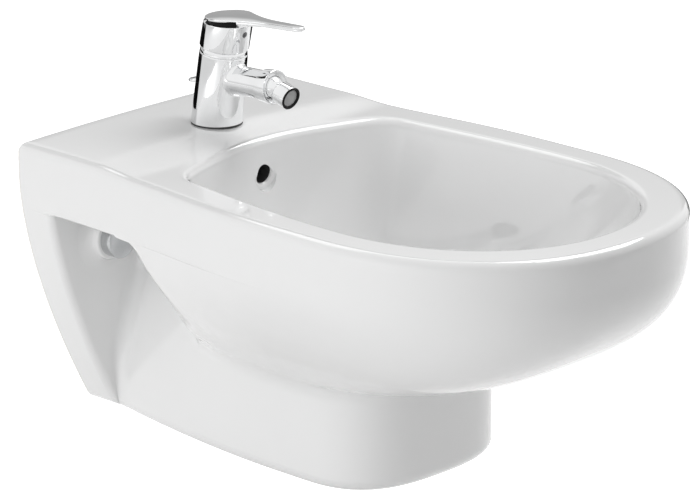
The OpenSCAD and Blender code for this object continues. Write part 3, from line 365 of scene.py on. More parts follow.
# the china casting, lofted through outlines at heights h from the rim plane, in millimetres; t is how far
# an outline is drawn in, and c has the number of points in each of its stretches
casting = {
    "length": 560, "width": 350, "wallWidth": 315, "widestAt": 365, "height": 253, "wall": 12,
    "straight": 60,  # the sides leave the wall straight for this far
    "band": 40, "drop": 164,  # between these depths the bowl draws in to the skirt
    "bellyCurve": 1.75, "bellyEnd": 0.93, "bellyHollow": 0.16, "prowCurve": (2.14, 1.53), "prowLead": 5,
    "skirtWidth": 196, "skirtLength": 356, "skirtWidestAt": 274, "skirtFlare": 215,
    "noseCurve": (2.25, 2.8), "noseBulge": 2.4,
    "rimRound": 8, "lipRound": 7, "footRound": 12,
    "deckRise": 5, "deckDepth": 137, "tapAt": 83, "tapHole": 17.5,
    "mouthWidth": 280, "mouthFront": 523, "mouthBack": 72, "mouthBow": 12, "mouthCorner": (13, 192),
    "mouthCurve": 2.1, "basinDepth": 116, "basinCurve": (3, 1.9), "basinSlope": 0.3,
    "basinFloor": (52, 42, 84),  # its reach from the waste across, backwards and forwards
    "wasteAt": 240, "wasteHole": 23, "wasteSeat": 33.5, "seatDrop": 2,
    "flange": 35, "flangeFoot": 150, "flangeStraight": 25, "flangeCurve": 1.6,
    "edge": 7,  # rounding of the flange's front edge
    "footCorner": 10,  # and of its lower corners
    "root": 16,  # hollow rounding where the skirt meets the flange
    "rootIn": 46, "rootPinch": 38, "pinchAbove": 215, "rootLeast": 44,
    "recessTop": 56, "recessFront": 130, "recessLean": 0.2,
    "corner": 14,  # rounding of the side recess's top front corner
    "recessHollow": 10, "recessRound": (16, 60), "innerRound": 20,
    "step": 20,  # a bowl that overhangs the skirt by less than this blends into it
    "softSpot": (94, -164, -75), "softReach": 38, "softTimes": 20,  # where the recess's lower corner runs out
    "fixingAt": 90, "fixingHole": 9, "padHeight": 11, "padRadius": 19, "padHollow": 14,
    "overflowDrop": 31, "channelBore": 5, "channelWall": 8,
}
rimHeight = 88  # over the fixing holes
mouthMiddle, wasteSpot = (0, -300), (0, -casting["wasteAt"])


def clamp01(t):
    return min(1.0, max(0.0, t))


def smooth(t):
    c = clamp01(t)
    return c * c * (3 - 2 * c)


def mix(a, b, t):
    if isinstance(a, tuple):
        return tuple(p + (q - p) * t for p, q in zip(a, b))
    return a + (b - a) * t


def steps(low, high, count):
    return [mix(low, high, i / count) for i in range(count + 1)]


def sinDeg(q):
    return math.sin(math.radians(q))


def cosDeg(q):
    return max(0.0, math.cos(math.radians(q)))


def belly(h):
    # how far the sides have drawn in from the bowl to the skirt, with a hollow rounding at the end
    end = casting["bellyEnd"]
    t = (-h - casting["band"]) / (casting["drop"] - casting["band"])
    drawn = clamp01(min(t, end)) ** casting["bellyCurve"]
    return drawn + (1 - drawn) * (1 - (1 - clamp01((t - end) / casting["bellyHollow"])) ** 2)


def prow(h):
    # how far the front has drawn in
    full, lean = casting["prowCurve"]
    t = clamp01((-h + casting["prowLead"] - casting["band"]) / (casting["drop"] - casting["band"]))
    return 1 - (1 - t ** full) ** (1 / lean)


def sideX(y):
    straight = casting["straight"]
    widened = smooth((y - straight) / (casting["widestAt"] - straight))
    return mix(casting["wallWidth"], casting["width"], widened) / 2


def roundedIn(d, r):
    # how far a corner of radius r is drawn in at a distance d from its end
    return r * (1 - math.sqrt(1 - clamp01(1 - d / r) ** 2))


def flangeX(h):
    straight = casting["flangeStraight"]
    narrowed = clamp01((-h - straight) / (casting["height"] - straight)) ** casting["flangeCurve"]
    half = casting["wallWidth"] / 2 - (casting["wallWidth"] - casting["flangeFoot"]) / 2 * narrowed
    return half - roundedIn(casting["height"] + h, casting["footCorner"])


def rootX(h):
    # the skirt's half width at the flange, pinched in towards its top
    pinch = casting["rootPinch"] * (max(0, casting["pinchAbove"] + h) / 100) ** 1.5
    half = (casting["skirtWidth"] - casting["rootIn"]) / 2 - pinch
    return min(max(casting["rootLeast"], half), flangeX(h) - 1)


def skirtX(y, h):
    flared = 1 - (1 - clamp01((y - casting["flange"]) / casting["skirtFlare"])) ** 2
    return mix(rootX(h), casting["skirtWidth"] / 2, flared)


def bowlX(y, h):
    return mix(sideX(y), skirtX(y, h), belly(h))


def recessY(h):
    depth = -h - casting["recessTop"]
    leaning = casting["recessLean"] * max(0, depth)
    return casting["recessFront"] + leaning - roundedIn(depth, casting["corner"])


def quarter(a, b, n, flat):
    # points on a quarter ellipse from a to b, leaving a across if flat and lengthwise if not
    points = []
    for i in range(1, n + 1):
        s, c = sinDeg(90 * i / n), cosDeg(90 * i / n)
        if flat:
            points.append((mix(a[0], b[0], s), mix(b[1], a[1], c)))
        else:
            points.append((mix(b[0], a[0], c), mix(a[1], b[1], s)))
    return points


def cubic(handles, t):
    weights = ((1 - t) ** 3, 3 * t * (1 - t) ** 2, 3 * t * t * (1 - t), t ** 3)
    return tuple(sum(k * p[axis] for k, p in zip(weights, handles)) for axis in (0, 1))


def nosePoints(w, mid, tip, n, count):
    # from the widest place round to the tip, squarer for a larger n
    points = []
    for i in range(1, count + 1):
        q = 90 * i / count
        points.append((w * cosDeg(q) ** (2 / n), -mid - (tip - mid) * sinDeg(q) ** (2 / n)))
    return points


def frontPoints(fromY, h, t, c):
    drawn = prow(h)
    w = mix(casting["width"], casting["skirtWidth"], belly(h)) / 2 - t
    mid = mix(casting["widestAt"], casting["skirtWidestAt"], drawn)
    tip = mix(casting["length"], casting["skirtLength"], drawn) - t
    n = mix(*casting["noseCurve"], drawn) + casting["noseBulge"] * drawn * (1 - drawn)
    side = []
    for s in steps(0, 1, c[7])[1:]:
        y = mix(fromY, mid, s)
        side.append((mix(bowlX(y, h) - t, w, smooth(s)), -y))
    return side + nosePoints(w, mid, tip, n, c[8])


def eased(points, h, t, start, end):
    # the bowl's back corner blends into a plain side where the bowl hardly overhangs
    share = smooth((bowlX(end, h) - skirtX(end, h)) / casting["step"])
    out = []
    for x, y in points:
        side = mix(skirtX(-y, h), bowlX(-y, h), smooth((-y - start) / (end - start))) - t
        out.append((mix(side, x, share), y))
    return out


def plainHalf(h, t, back, c):
    # half an outline without the side recess, drawn in by t
    far, narrower = casting["recessFront"] + casting["recessRound"][0], casting["wallWidth"] / 2 - flangeX(h)
    half = [((flangeX(h) - t) * i / c[0], -back) for i in range(c[0] + 1)]
    for y in steps(back, far, sum(c[1:7]))[1:]:
        half.append((sideX(y) - t - narrower * (1 - smooth(y / casting["straight"])), -y))
    return half + frontPoints(far, h, t, c)


def fromSkirt(start, count, roundest, h, t, c):
    # the skirt's side from start, the recess's front corner out to the bowl, and on round the front
    back, hollow = recessY(h) + t, casting["recessHollow"]
    far = back + mix(*casting["recessRound"], belly(h))
    inX, outX = skirtX(back, h) - t, bowlX(far, h) - t
    jump = max(outX - inX, 0)
    inR, outR = min(hollow, 0.4 * jump), min(roundest, 0.5 * jump)
    side = [(skirtX(y, h) - t, -y) for y in steps(start, back - hollow, count)[1:]]
    corner = quarter((inX, -back + hollow), (inX + inR, -back + 1), c[5], False)
    corner += [(outX - outR, -back - 1)]
    corner += quarter((outX - outR, -back - 1), (outX, -far), c[6] - 1, True)
    return side + eased(corner, h, t, back - hollow, far) + frontPoints(far, h, t, c)


def recessedHalf(h, t, c):
    # half an outline with the flange and the side recess
    fx, sx, hollow = flangeX(h) - t, rootX(h) - t, casting["root"]
    edge, root = min(casting["edge"], 0.55 * (fx - sx)), min(hollow, 0.35 * (fx - sx))
    front = casting["flange"] - t
    side = max(front - casting["edge"], 0.3 * front)
    half = [(fx * i / c[0], 0) for i in range(c[0] + 1)]
    half += [(fx, -side * i / 3) for i in range(1, 4)]
    half += quarter((fx, -side), (fx - edge, -front), c[1] - 3, False)
    half += steps((fx - edge, -front), (sx + root, -front), c[2])[1:]
    rootY = front + hollow
    footX = skirtX(rootY, h) - t
    slant = skirtX(rootY + 1, h) - t - footX
    handles = ((sx + root, -front), (sx + root / 2, -front),
               (footX - slant * hollow / 2, -rootY + hollow / 2), (footX, -rootY))
    half += [cubic(handles, s) for s in steps(0, 1, c[3])[1:]]
    return half + fromSkirt(rootY, c[4], mix(*casting["recessRound"], belly(h)), h, t, c)


def innerHalf(h, t, c):
    # the same for the space inside, which has no flange
    half = [((rootX(h) - t) * i / c[0], -casting["wall"]) for i in range(c[0] + 1)]
    return half + fromSkirt(casting["wall"], sum(c[1:5]), casting["innerRound"], h, t, c)


def allRound(half):
    return half + [(-x, y) for x, y in half[-2:0:-1]]


def ring(half, h):
    return [(x, y, h) for x, y in allRound(half)]


def mouthHalf(c):
    w, back, deck = casting["mouthWidth"] / 2, casting["mouthBack"], casting["deckDepth"]
    bow, cornerX, cornerY = casting["mouthBow"], w - casting["mouthCorner"][0], casting["mouthCorner"][1]
    handles = ((back, -deck - bow), (back + 33, -deck - bow - 10),
               (cornerX - 2, -cornerY + 27), (cornerX, -cornerY))
    half = [(back * i / c[0], -deck - bow * (i / c[0]) ** 2) for i in range(c[0] + 1)]
    half += [cubic(handles, s) for s in steps(0, 1, sum(c[1:7]))[1:]]
    for s in steps(0, 1, c[7])[1:]:
        half.append((mix(cornerX, w, smooth(0.5 + s / 2) * 2 - 1), -mix(cornerY, casting["widestAt"], s)))
    return half + nosePoints(w, casting["widestAt"], casting["mouthFront"], casting["mouthCurve"], c[8])


def away(p, centre, t=1.0):
    dx, dy = p[0] - centre[0], p[1] - centre[1]
    length = math.hypot(dx, dy)
    return dx / length * t, dy / length * t


def pushed(p, t):
    gx, gy = away(p, mouthMiddle, t)
    return p[0] + gx, p[1] + gy


def basinPoint(p, q, t):
    # a point of the basin's wall, q degrees down its section below the mouth point p, grown by t
    ux, uy = away(p, wasteSpot)
    n = mix(*casting["basinCurve"], (1 - uy) / 2)
    deep, drawn = sinDeg(q) ** (2 / n), 1 - cosDeg(q) ** (2 / n)
    s = drawn + casting["basinSlope"] * deep * (1 - drawn)
    across, backwards, forwards = casting["basinFloor"]
    reach = t + 1 / math.hypot(ux / across, uy / (backwards if uy > 0 else forwards))
    x, y = mix(pushed(p, t), (wasteSpot[0] + ux * reach, wasteSpot[1] + uy * reach), s)
    return x, y, -casting["lipRound"] - (casting["basinDepth"] - casting["lipRound"] + t) * deep


def circleRing(points, r, h):
    # a ring round the waste with a point for each of the mouth's
    return [(wasteSpot[0] + x, wasteSpot[1] + y, h) for x, y in (away(p, wasteSpot, r) for p in points)]


def lifted(points):
    # the tap deck stands a little over the rim, most along its middle
    ramp, top = casting["deckDepth"] - casting["tapAt"], casting["recessTop"]
    out = []
    for x, y, z in points:
        lift = casting["deckRise"] * smooth((casting["deckDepth"] + 8 + y) / ramp)
        lift *= 1 - 0.5 * (2 * x / casting["wallWidth"]) ** 2
        out.append((x, y, z + lift * smooth((z + top) / top)))
    return out


def loftRings(name, rings):
    # quads between neighbouring rings, with a flat cap on each end
    n = len(rings[0])
    points = [Vector((x, y, z + rimHeight)) * mm for one in rings for x, y, z in one]
    faces = [tuple(range(n))[::-1], tuple(range((len(rings) - 1) * n, len(rings) * n))]
    for r in range(len(rings) - 1):
        for i in range(n):
            j = (i + 1) % n
            faces.append((r * n + i, r * n + j, (r + 1) * n + j, (r + 1) * n + i))
    piece = fromPoints(name, points, faces)
    editAll()
    bpy.ops.mesh.remove_doubles(threshold=0.000002)
    editDone()
    return piece


def castingSkin(c):
    height, band, drop, top = (casting[key] for key in ("height", "band", "drop", "recessTop"))
    footR, rimR, lipR = casting["footRound"], casting["rimRound"], casting["lipRound"]
    turnLow = 186  # the depth where the rings begin to close up for the bowl's turn
    mouth = allRound(mouthHalf(c))

    def cutRing(h, t=0):
        return ring(recessedHalf(h, t, c), h)

    foot = [cutRing(-height + footR * (1 - cosDeg(q)), footR * (1 - sinDeg(q))) for q in steps(0, 90, 9)]
    sides = [cutRing(-d) for d in steps(height - footR - 4, turnLow, 14)]
    turn = [cutRing(-mix(band, drop, t)) for t in steps((turnLow - band) / (drop - band) - 0.02, 0.2, 64)]
    turn = [one for one in turn if one[0][2] < -top - 8.5]
    # the recess's ceiling: hollow where it meets the skirt, round where it meets the side
    shelf = [(8, 1), (6, 0.997), (4, 0.987), (2, 0.967), (1, 0.95), (0.3, 0.929), (0, 0.9), (0, 0.6),
             (0, 0.3), (0, 0.061), (-0.2, 0.044), (-0.5, 0.034), (-1, 0.0244), (-2, 0.0122), (-3, 0.005),
             (-4, 0.0012), (-5, 0)]
    ceiling = []
    for depth, share in shelf:
        h = -top - depth
        plain, cut = plainHalf(h, 0, 0, c), recessedHalf(min(h, -top), 0, c)
        ceiling.append(ring([mix(a, b, share) for a, b in zip(plain, cut)], h))
    upright = [ring(plainHalf(h, 0, 0, c), h) for h in steps(-top + 7, -rimR, 10)]
    edge = []
    for q in steps(9, 90, 9):
        t = rimR * (1 - cosDeg(q))
        edge.append(ring(plainHalf(0, t, t / 2, c), -rimR + rimR * sinDeg(q)))
    topIn, lipOut = [(x, y) for x, y, z in edge[-1]], [pushed(p, lipR) for p in mouth]
    flat = [[(*mix(a, b, s), 0) for a, b in zip(topIn, lipOut)] for s in steps(0.06, 1, 15)]
    lip = [[(*pushed(p, lipR * (1 - sinDeg(q))), -lipR * (1 - cosDeg(q))) for p in mouth]
           for q in steps(10, 80, 7)]
    basin = [[basinPoint(p, 90 * smooth(i / 44), 0) for p in mouth] for i in range(45)]
    seat = -casting["basinDepth"] - casting["seatDrop"]
    seatRing = circleRing(mouth, casting["wasteSeat"], seat)
    floor = [[(*mix(a[:2], b[:2], s), mix(a[2], b[2], smooth(s))) for a, b in zip(basin[-1], seatRing)]
             for s in steps(0.15, 1, 6)]
    floor += [circleRing(mouth, r, seat) for r in (28, 18, 6)]
    deck = [lifted(one) for one in upright + edge + flat + lip + basin + floor]
    return foot + sides + turn + ceiling + deck


def hollowSpace(c):
    wall, top, height = casting["wall"], casting["recessTop"], casting["height"]
    footIn = wall + casting["footRound"]
    foot = []
    for d, t in ((1, footIn), (-8, footIn - 4), (-26, wall), (-55, wall)):
        foot.append(ring(innerHalf(-height - d, t, c), -height - d))
    bowl = []
    for t in (1.06, 0.98, 0.92, 0.87, 0.8, 0.7, 0.55, 0.38, 0.2):
        h = -mix(casting["band"], casting["drop"], t)
        bowl.append(ring(innerHalf(h - wall, wall - 2, c), h))
    shelf = [ring(innerHalf(-top - wall, wall - 2, c), -d) for d in (top, top - wall)]
    high = [ring(plainHalf(-d, wall, wall, c), -d) for d in (top - wall - 0.6, wall + 2)]
    return loftRings("hollow", foot + bowl + shelf + high)


def basinShell(c):
    mouth = allRound(mouthHalf(c))
    walls = [[basinPoint(p, q, casting["wall"]) for p in mouth] for q in (90, 84, 75, 64, 52, 40, 28, 14, 0)]
    return loftRings("basinShell", walls)


def rod(name, radius, start, length, axis="Z"):
    # a plain round tool, from start (in millimetres) upwards, or towards the wall for Y
    turn, along = {"Z": ((0, 0, 0), Vector((0, 0, 1))), "Y": ((-math.pi / 2, 0, 0), Vector((0, 1, 0)))}[axis]
    bpy.ops.mesh.primitive_cylinder_add(vertices=96, radius=radius * mm, depth=length * mm, rotation=turn,
                                        location=(Vector(start) + along * length / 2) * mm)
    bpy.context.object.name = name
    bpy.ops.object.transform_apply()
    return bpy.context.object


def block(name, low, high):
    low, high = Vector(low) * mm, Vector(high) * mm
    bpy.ops.mesh.primitive_cube_add(size=1, location=(low + high) / 2)
    bpy.context.object.name = name
    bpy.context.object.scale = high - low
    bpy.ops.object.transform_apply()
    return bpy.context.object


def slid(x, y, z):
    return Matrix.Translation(Vector((x, y, z)) * mm)


def tilted(degrees):
    return Matrix.Rotation(math.radians(degrees), 4, "X")


def fixingFrame(side):
    # the axis of the fixing on that side, out from the wall
    return slid(side * casting["fixingAt"], 0, 0) @ tilted(90)


def lathe(name, profile, place, sides=96, closed=True):
    # a turned tool or piece: one circle drawn through the (radius, height) steps of its profile
    r, z = profile[0]
    bpy.ops.mesh.primitive_circle_add(vertices=sides, radius=r * mm, location=(0, 0, z * mm))
    piece = bpy.context.object
    piece.name = name
    bpy.ops.object.transform_apply()
    editAll()
    for nextR, nextZ in profile[1:]:
        bpy.ops.mesh.extrude_edges_move(TRANSFORM_OT_translate={"value": (0, 0, (nextZ - z) * mm)})
        if nextR != r:
            bpy.ops.transform.resize(value=(nextR / r, nextR / r, 1), center_override=(0, 0, nextZ * mm))
        r, z = nextR, nextZ
    if closed:
        bpy.ops.mesh.select_all(action="DESELECT")
        bpy.ops.mesh.select_non_manifold(extend=False)
        bpy.ops.mesh.fill_holes(sides=0)
    else:
        bpy.ops.mesh.select_all(action="SELECT")
        bpy.ops.mesh.remove_doubles(threshold=0.000001)
    editDone()
    return placed(piece, place)


def backOpening():
    # the window in the wall face, with rounded corners
    outline = [(-30, -26), (30, -26), (30, -130), (50, -186), (50, -232), (-50, -232),
               (-50, -186), (-30, -130)]
    corners = [(x * mm, 0.002, (z + rimHeight) * mm) for x, z in outline]
    window = fromPoints("window", corners, [tuple(range(len(corners)))])
    editAll()
    bpy.ops.mesh.bevel(offset=0.006, segments=6, affect="VERTICES")
    bpy.ops.mesh.select_all(action="SELECT")
    pulled(0, -0.016, 0)
    editDone()
    return window


def fixingPad(side):
    # raised face round a fixing, with a hollow rounding into the flange
    low, out, up, hollow = (casting[key] for key in ("flange", "padRadius", "padHeight", "padHollow"))
    profile = [(out + hollow, low - 3), (out + hollow, low + 0.05)]
    profile += [(out + hollow * (1 - sinDeg(q)), low + 0.05 + (up - 2) * (1 - cosDeg(q)))
                for q in steps(8, 72, 8)]
    profile += [(out + 0.5, low + up - 1.6), (out - 0.3, low + up - 0.5), (out - 1.4, low + up)]
    return lathe("pad", profile, fixingFrame(side))


def overflowFrame():
    # the overflow hole's axis, square to the basin's back wall and out into the basin
    drop = casting["overflowDrop"]
    line = [basinPoint((0, -casting["deckDepth"]), q, 0) for q in steps(0, 60, 240)]
    nearest = min(line, key=lambda p: abs(p[2] + drop))
    near = [p for p in line if abs(p[2] + drop) < 6]
    slope = math.degrees(math.atan2(near[0][1] - near[-1][1], near[0][2] - near[-1][2]))
    return slid(0, nearest[1], rimHeight - drop) @ tilted(90 + slope)


def cutOverflow(body, channelY, seat):
    # a hole with a rounded lip, and the channel down behind it to the waste, their insides coloured near
    # black as painted shade
    lip = [(8.5, -30), (8.5, -2.6), (8.8, -1.3), (9.7, -0.2), (11.2, 0.5), (13.5, 0.8), (13.5, 6)]
    place, bore, waste = overflowFrame(), casting["channelBore"], casting["wasteAt"]
    cutAway(body, lathe("overflowHole", lip, place))
    shaded = []
    for face in body.data.polygons:
        spot = place.inverted() @ face.center / mm
        if lip[0][1] - 1 < spot.z < lip[1][1] and math.hypot(spot.x, spot.y) < lip[0][0] + 0.2:
            shaded.append(face)
    coat(body, "shaded", shaded)
    low = seat - casting["channelWall"]
    down = rimHeight - casting["overflowDrop"] - low
    cutAway(body, rod("channelDown", bore, (0, -channelY, low), down), "shaded")
    cutAway(body, rod("channelAlong", bore, (0, -waste, low), waste - channelY, "Y"), "shaded")


def makeCasting():
    print("casting: lofting")
    # how many points each stretch of an outline has, on the skin and in the hollow
    fine, plain = (10, 12, 6, 8, 16, 8, 12, 26, 48), (4, 3, 2, 3, 6, 3, 4, 8, 16)
    body = give(loftRings("bidet_china", castingSkin(fine)), "glaze", "clay", "shaded")
    softened(body, casting["softSpot"], casting["softReach"], casting["softTimes"])
    for side in (-1, 1):
        addOn(body, fixingPad(side))
    print("casting: hollowing")
    hollow = hollowSpace(plain)
    seat = rimHeight - casting["basinDepth"] - casting["seatDrop"]
    cutAway(hollow, basinShell(plain))
    channelY, waste = casting["deckDepth"] - casting["wall"] + 1, casting["wasteAt"]
    under, rib = seat - 2 * casting["channelWall"], casting["channelBore"] + casting["channelWall"]
    cutAway(hollow, rod("boss", 36, (0, -waste, under), 24))
    cutAway(hollow, block("channelRib", (-rib, -channelY - 14, under),
                          (rib, -channelY + 12, rimHeight - casting["wall"])))
    cutAway(hollow, block("channelBed", (-rib, -waste, under), (rib, -channelY, seat + 2)))
    cutAway(body, hollow, "clay")
    print("casting: holes")
    cutAway(body, backOpening())
    cutAway(body, rod("tapHole", casting["tapHole"], (0, -casting["tapAt"], 53), 60))
    for side in (-1, 1):
        at = side * casting["fixingAt"]
        cutAway(body, rod("fixingHole", casting["fixingHole"], (at, -48, 0), 49, "Y"))
    cutAway(body, rod("wasteHole", casting["wasteHole"], (0, -waste, seat - 17), 18))
    cutOverflow(body, channelY, seat)
    smoothShade(body, 40)
    return finishPiece(body, "bidet", "glaze", "bidet_body")


china = makeCasting()
print("casting: done,", len(china.data.polygons), "faces")


# the tap, in millimetres along its own leaning axes
tap = {
    "back": casting["tapAt"], "foot": 93, "lean": 8, "rise": 2.5, "nozzleTilt": 15,
    "rodAt": 68.8, "rodTilt": 9, "largeSides": 160, "smallSides": 48,
    "baseRadius": 22.7, "neckRadius": 21, "height": 67.5, "bodyTop": 65.6, "pivot": 55.5,
    "spoutAt": 42.5, "spoutRadius": 12.7, "spoutLength": 61.5, "rootFlare": 3.5, "inletAt": 10.5,
    "blockLow": 71.1, "blockTop": 99.6, "blockLean": 4.5, "blockRadius": 21.5, "plateShift": 2.24,
    "leverTilt": 11.5, "leverThick": 3.6, "leverLength": 88.5, "leverEdge": 0.8, "leverTip": (5.75, 6.75),
    "leverWaist": ((19.2, -9), (15, -18), (7.2, -34), (6.75, -56)),
    "underGap": 5.4,  # slope of the gap under the lever, degrees
    "domeOuter": 24.4, "domeInner": 21.8, "domeHollow": 24.7, "plugAt": 88.5, "plugOut": 4,
    "netWidth": 16, "netReach": 7.9, "netWire": 0.34, "netAt": 22.75,
    "knobAt": 33.5, "knobRadius": 7,
}


def tapFrame(up=0):
    return slid(0, -tap["back"], tap["foot"]) @ tilted(tap["lean"]) @ slid(0, 0, up)


def spoutFrame(out=0):
    return tapFrame(tap["spoutAt"]) @ tilted(90 - tap["lean"] - tap["rise"]) @ slid(0, 0, out)


def nozzleFrame(out=0):
    return spoutFrame(tap["spoutLength"]) @ tilted(tap["rise"] + tap["nozzleTilt"]) @ slid(0, 0, out)


def rodFrame(up=0):
    return slid(0, -tap["rodAt"], tap["foot"]) @ tilted(-tap["rodTilt"]) @ slid(0, 0, up)


def handleFront():
    return tapFrame(tap["plugAt"]) @ tilted(90) @ slid(0, 0, tap["plugOut"])


def arc(radius, low, high, count):
    return [(radius * sinDeg(a), -radius * math.cos(math.radians(a))) for a in steps(low, high, count)]


def slab(name, outline, thickness, place):
    corners = [Vector((x, y, 0)) * mm for x, y in outline]
    piece = fromPoints(name, corners, [tuple(range(len(corners)))])
    editAll()
    pulled(0, 0, thickness * mm)
    editDone()
    return placed(piece, place)


def turned(name, profile, place, body, slotName, replaced, loop=False, sides=96):
    piece = lathe(name, profile + profile[:1] if loop else profile, place, sides, not loop)
    return finishPiece(smoothShade(piece), body, slotName, replaced)


def bodyFace(x, y):
    # how far along the spout its point (x, y) comes out of the body
    angle = math.radians(90 - tap["lean"] - tap["rise"])
    out = 20
    for _ in range(6):
        up = tap["spoutAt"] + y * math.sin(angle) + out * math.cos(angle)
        r = tap["baseRadius"] - (tap["baseRadius"] - tap["neckRadius"]) * up / tap["height"]
        out = (math.sqrt(r * r - x * x) + y * math.cos(angle)) / math.sin(angle)
    return out


def bent(a, b, c, t):
    # on the curve that leaves a towards b and comes from there to c
    return (1 - t) ** 2 * a + 2 * t * (1 - t) * b + t * t * c


def spoutRoot(radius, sides):
    # rings from inside the body, round the hollow root and out to the spout's end
    flare, rings = tap["rootFlare"], []
    wide = radius + flare
    spokes = [(math.cos(2 * math.pi * i / sides), math.sin(2 * math.pi * i / sides)) for i in range(sides)]
    for step in range(14):
        t, one = clamp01((step - 1) / 12), []
        for x, y in spokes:
            inner, outer = bodyFace(radius * x, radius * y), bodyFace(wide * x, wide * y) + 0.02
            r, out = bent(wide, radius, radius, t), bent(outer, inner, inner + flare, t)
            one.append((r * x, r * y, out - 3 if step == 0 else out))
        rings.append(one)
    return rings + [[(radius * x, radius * y, tap["spoutLength"] - 4.5) for x, y in spokes]]


def makeTapBody():
    taper, top = (tap["baseRadius"] - tap["neckRadius"]) / tap["height"], tap["bodyTop"]
    side = [(tap["baseRadius"] - taper * up, up) for up in (-10, top - 1.1)]
    side += [(side[1][0] - 0.15, top - 0.45), (side[1][0] - 0.6, top)]
    body = give(lathe("tap_column", side, tapFrame(), tap["largeSides"]), "chrome")
    cutAway(body, block("below", (-60, -160, 40), (60, -20, tap["foot"] + 1.5)))
    spout = loftRings("spout", spoutRoot(tap["spoutRadius"], tap["largeSides"]))
    addOn(body, placed(spout, spoutFrame() @ slid(0, 0, -rimHeight)))
    addOn(body, rod("spigot", 17.2, (0, -tap["back"], 91), 6))
    print("tap: boring the body")
    seat = [(12, 33.5), (12, 40.5), (17.6, 40.5), (17.6, 59.5), (18.2, 59.5), (18.2, 80)]
    cutAway(body, lathe("seat", seat, tapFrame()))
    cutAway(body, lathe("way", [(5.5, 22), (5.5, 52.8), (7.06, 54), (10.6, 54), (10.6, 64)], spoutFrame()))
    slant = tapFrame(37) @ tilted(78 - tap["lean"] - tap["rise"])
    cutAway(body, lathe("slant", [(4.5, 0), (4.5, 34)], slant))
    for x in (-tap["inletAt"], tap["inletAt"]):
        cutAway(body, rod("inlet", 5, (x, -tap["back"], 83), 26))
        cutAway(body, lathe("feed", [(2.5, 10), (2.5, 41.5)], tapFrame() @ slid(x, 0, 0)))
    cutAway(body, rod("studHole", 4.05, (0, -tap["back"] - 10, 83), 22))
    cutAway(body, lathe("rodHole", [(2.35, -20), (2.35, 60)], rodFrame()))
    finishPiece(smoothShade(body), "bidet", "chrome", "tap_body")


def makeDomeRing():
    def onDome(radius, r):
        return r, tap["pivot"] + math.sqrt(radius * radius - r * r)

    outer = [(20.1, 65.6), (20.5, 65.9), (20.6, 66.4), (20.4, 68.2)]
    outer += [onDome(tap["domeOuter"], r) for r in steps(19.9, 14.2, 12)]
    inner = [onDome(tap["domeInner"], r) for r in steps(14.2, 18.3, 10)] + [(18.3, 65.6)]
    turned("tap_dome", outer + inner, tapFrame(), "bidet", "chrome", "dome_ring", True,
           tap["largeSides"])


def leverOutline(back):
    # the lever's plan, from the round back through its waist to the tip
    long, (tipX, tipY) = tap["leverLength"], tap["leverTip"]
    half = [(back * math.cos(math.radians(a)), back * sinDeg(a)) for a in steps(90, -25, 46)]
    half += [cubic(tap["leverWaist"], t) for t in steps(0.04, 1, 24)]
    half += [(tipX, tipY - long)]
    half += [(tipX * cosDeg(a), tipY - long - tipY * sinDeg(a)) for a in steps(6, 90, 14)]
    return allRound(half)


def makeLever():
    thick, back = tap["leverThick"], tap["blockRadius"] - 0.3
    low, pivot = tapFrame(tap["blockLow"]), tapFrame(tap["pivot"])
    plate = tapFrame(tap["blockTop"]) @ tilted(-tap["leverTilt"]) @ slid(0, -tap["plateShift"], -thick)
    column = [(tap["blockRadius"], -5), (tap["blockRadius"], 40)]
    handle = lathe("tap_lever", column, low @ tilted(tap["blockLean"]), tap["largeSides"])
    # its second finish, near black, is painted shade in the gap under the lever plate
    give(handle, "chrome", "black_plastic")
    cutAway(handle, placed(block("low", (-60, -60, -60), (60, 60, 0)), low))
    slope = plate @ slid(0, back, 0) @ tilted(tap["underGap"]) @ slid(0, -back, 0)
    cutAway(handle, placed(block("high", (-80, -80, 0), (80, 80, 80)), slope))
    bevelled(handle, 0.6)
    # the web's outline stands on edge, along the lever
    side = [(4, 0.6), (-50, 0.6), (-50, 0.2), (-30, -1.2), (-21, -4), (-17, -7), (4, -7)]
    onEdge = Matrix(((0, 0, 1, -7.5 * mm), (1, 0, 0, 0), (0, 1, 0, 0), (0, 0, 0, 1)))
    addOn(handle, bevelled(slab("web", side, 15, plate @ onEdge), 0.5))
    addOn(handle, bevelled(slab("plate", leverOutline(back), thick, plate), tap["leverEdge"]))
    # the neck under the plate is coloured black as painted shade
    addOn(handle, lathe("neck", [(17.5, -6), (17.5, 0.5)], plate), "black_plastic")
    thin = thick - 1.1
    gap = lathe("gap", [(17.2, -0.4), (17.2, 0.3), (22.5, thin), (30, thin), (30, -0.4)], plate)
    cutAway(gap, placed(block("front", (-60, -60, -20), (60, -22, 20)), plate))
    cutAway(gap, placed(block("web", (-9, -60, -20), (9, 0, 20)), plate))
    # the faces the gap cuts are coloured black as painted shade under the plate
    cutAway(handle, gap, "black_plastic")
    print("tap: hollowing the lever")
    cutAway(handle, lathe("dome", arc(tap["domeHollow"], 0.5, 179.5, 64), pivot))
    cutAway(handle, placed(block("stem", (-4, -4, 0), (4, 4, 37.5)), pivot))
    grub = [(2, -1), (2, 16.47), (2.7, 16.47), (2.7, 40)]
    cutAway(handle, lathe("grub", grub, handleFront(), tap["smallSides"]))
    finishPiece(smoothShade(handle), "lever", "chrome", "lever_handle")


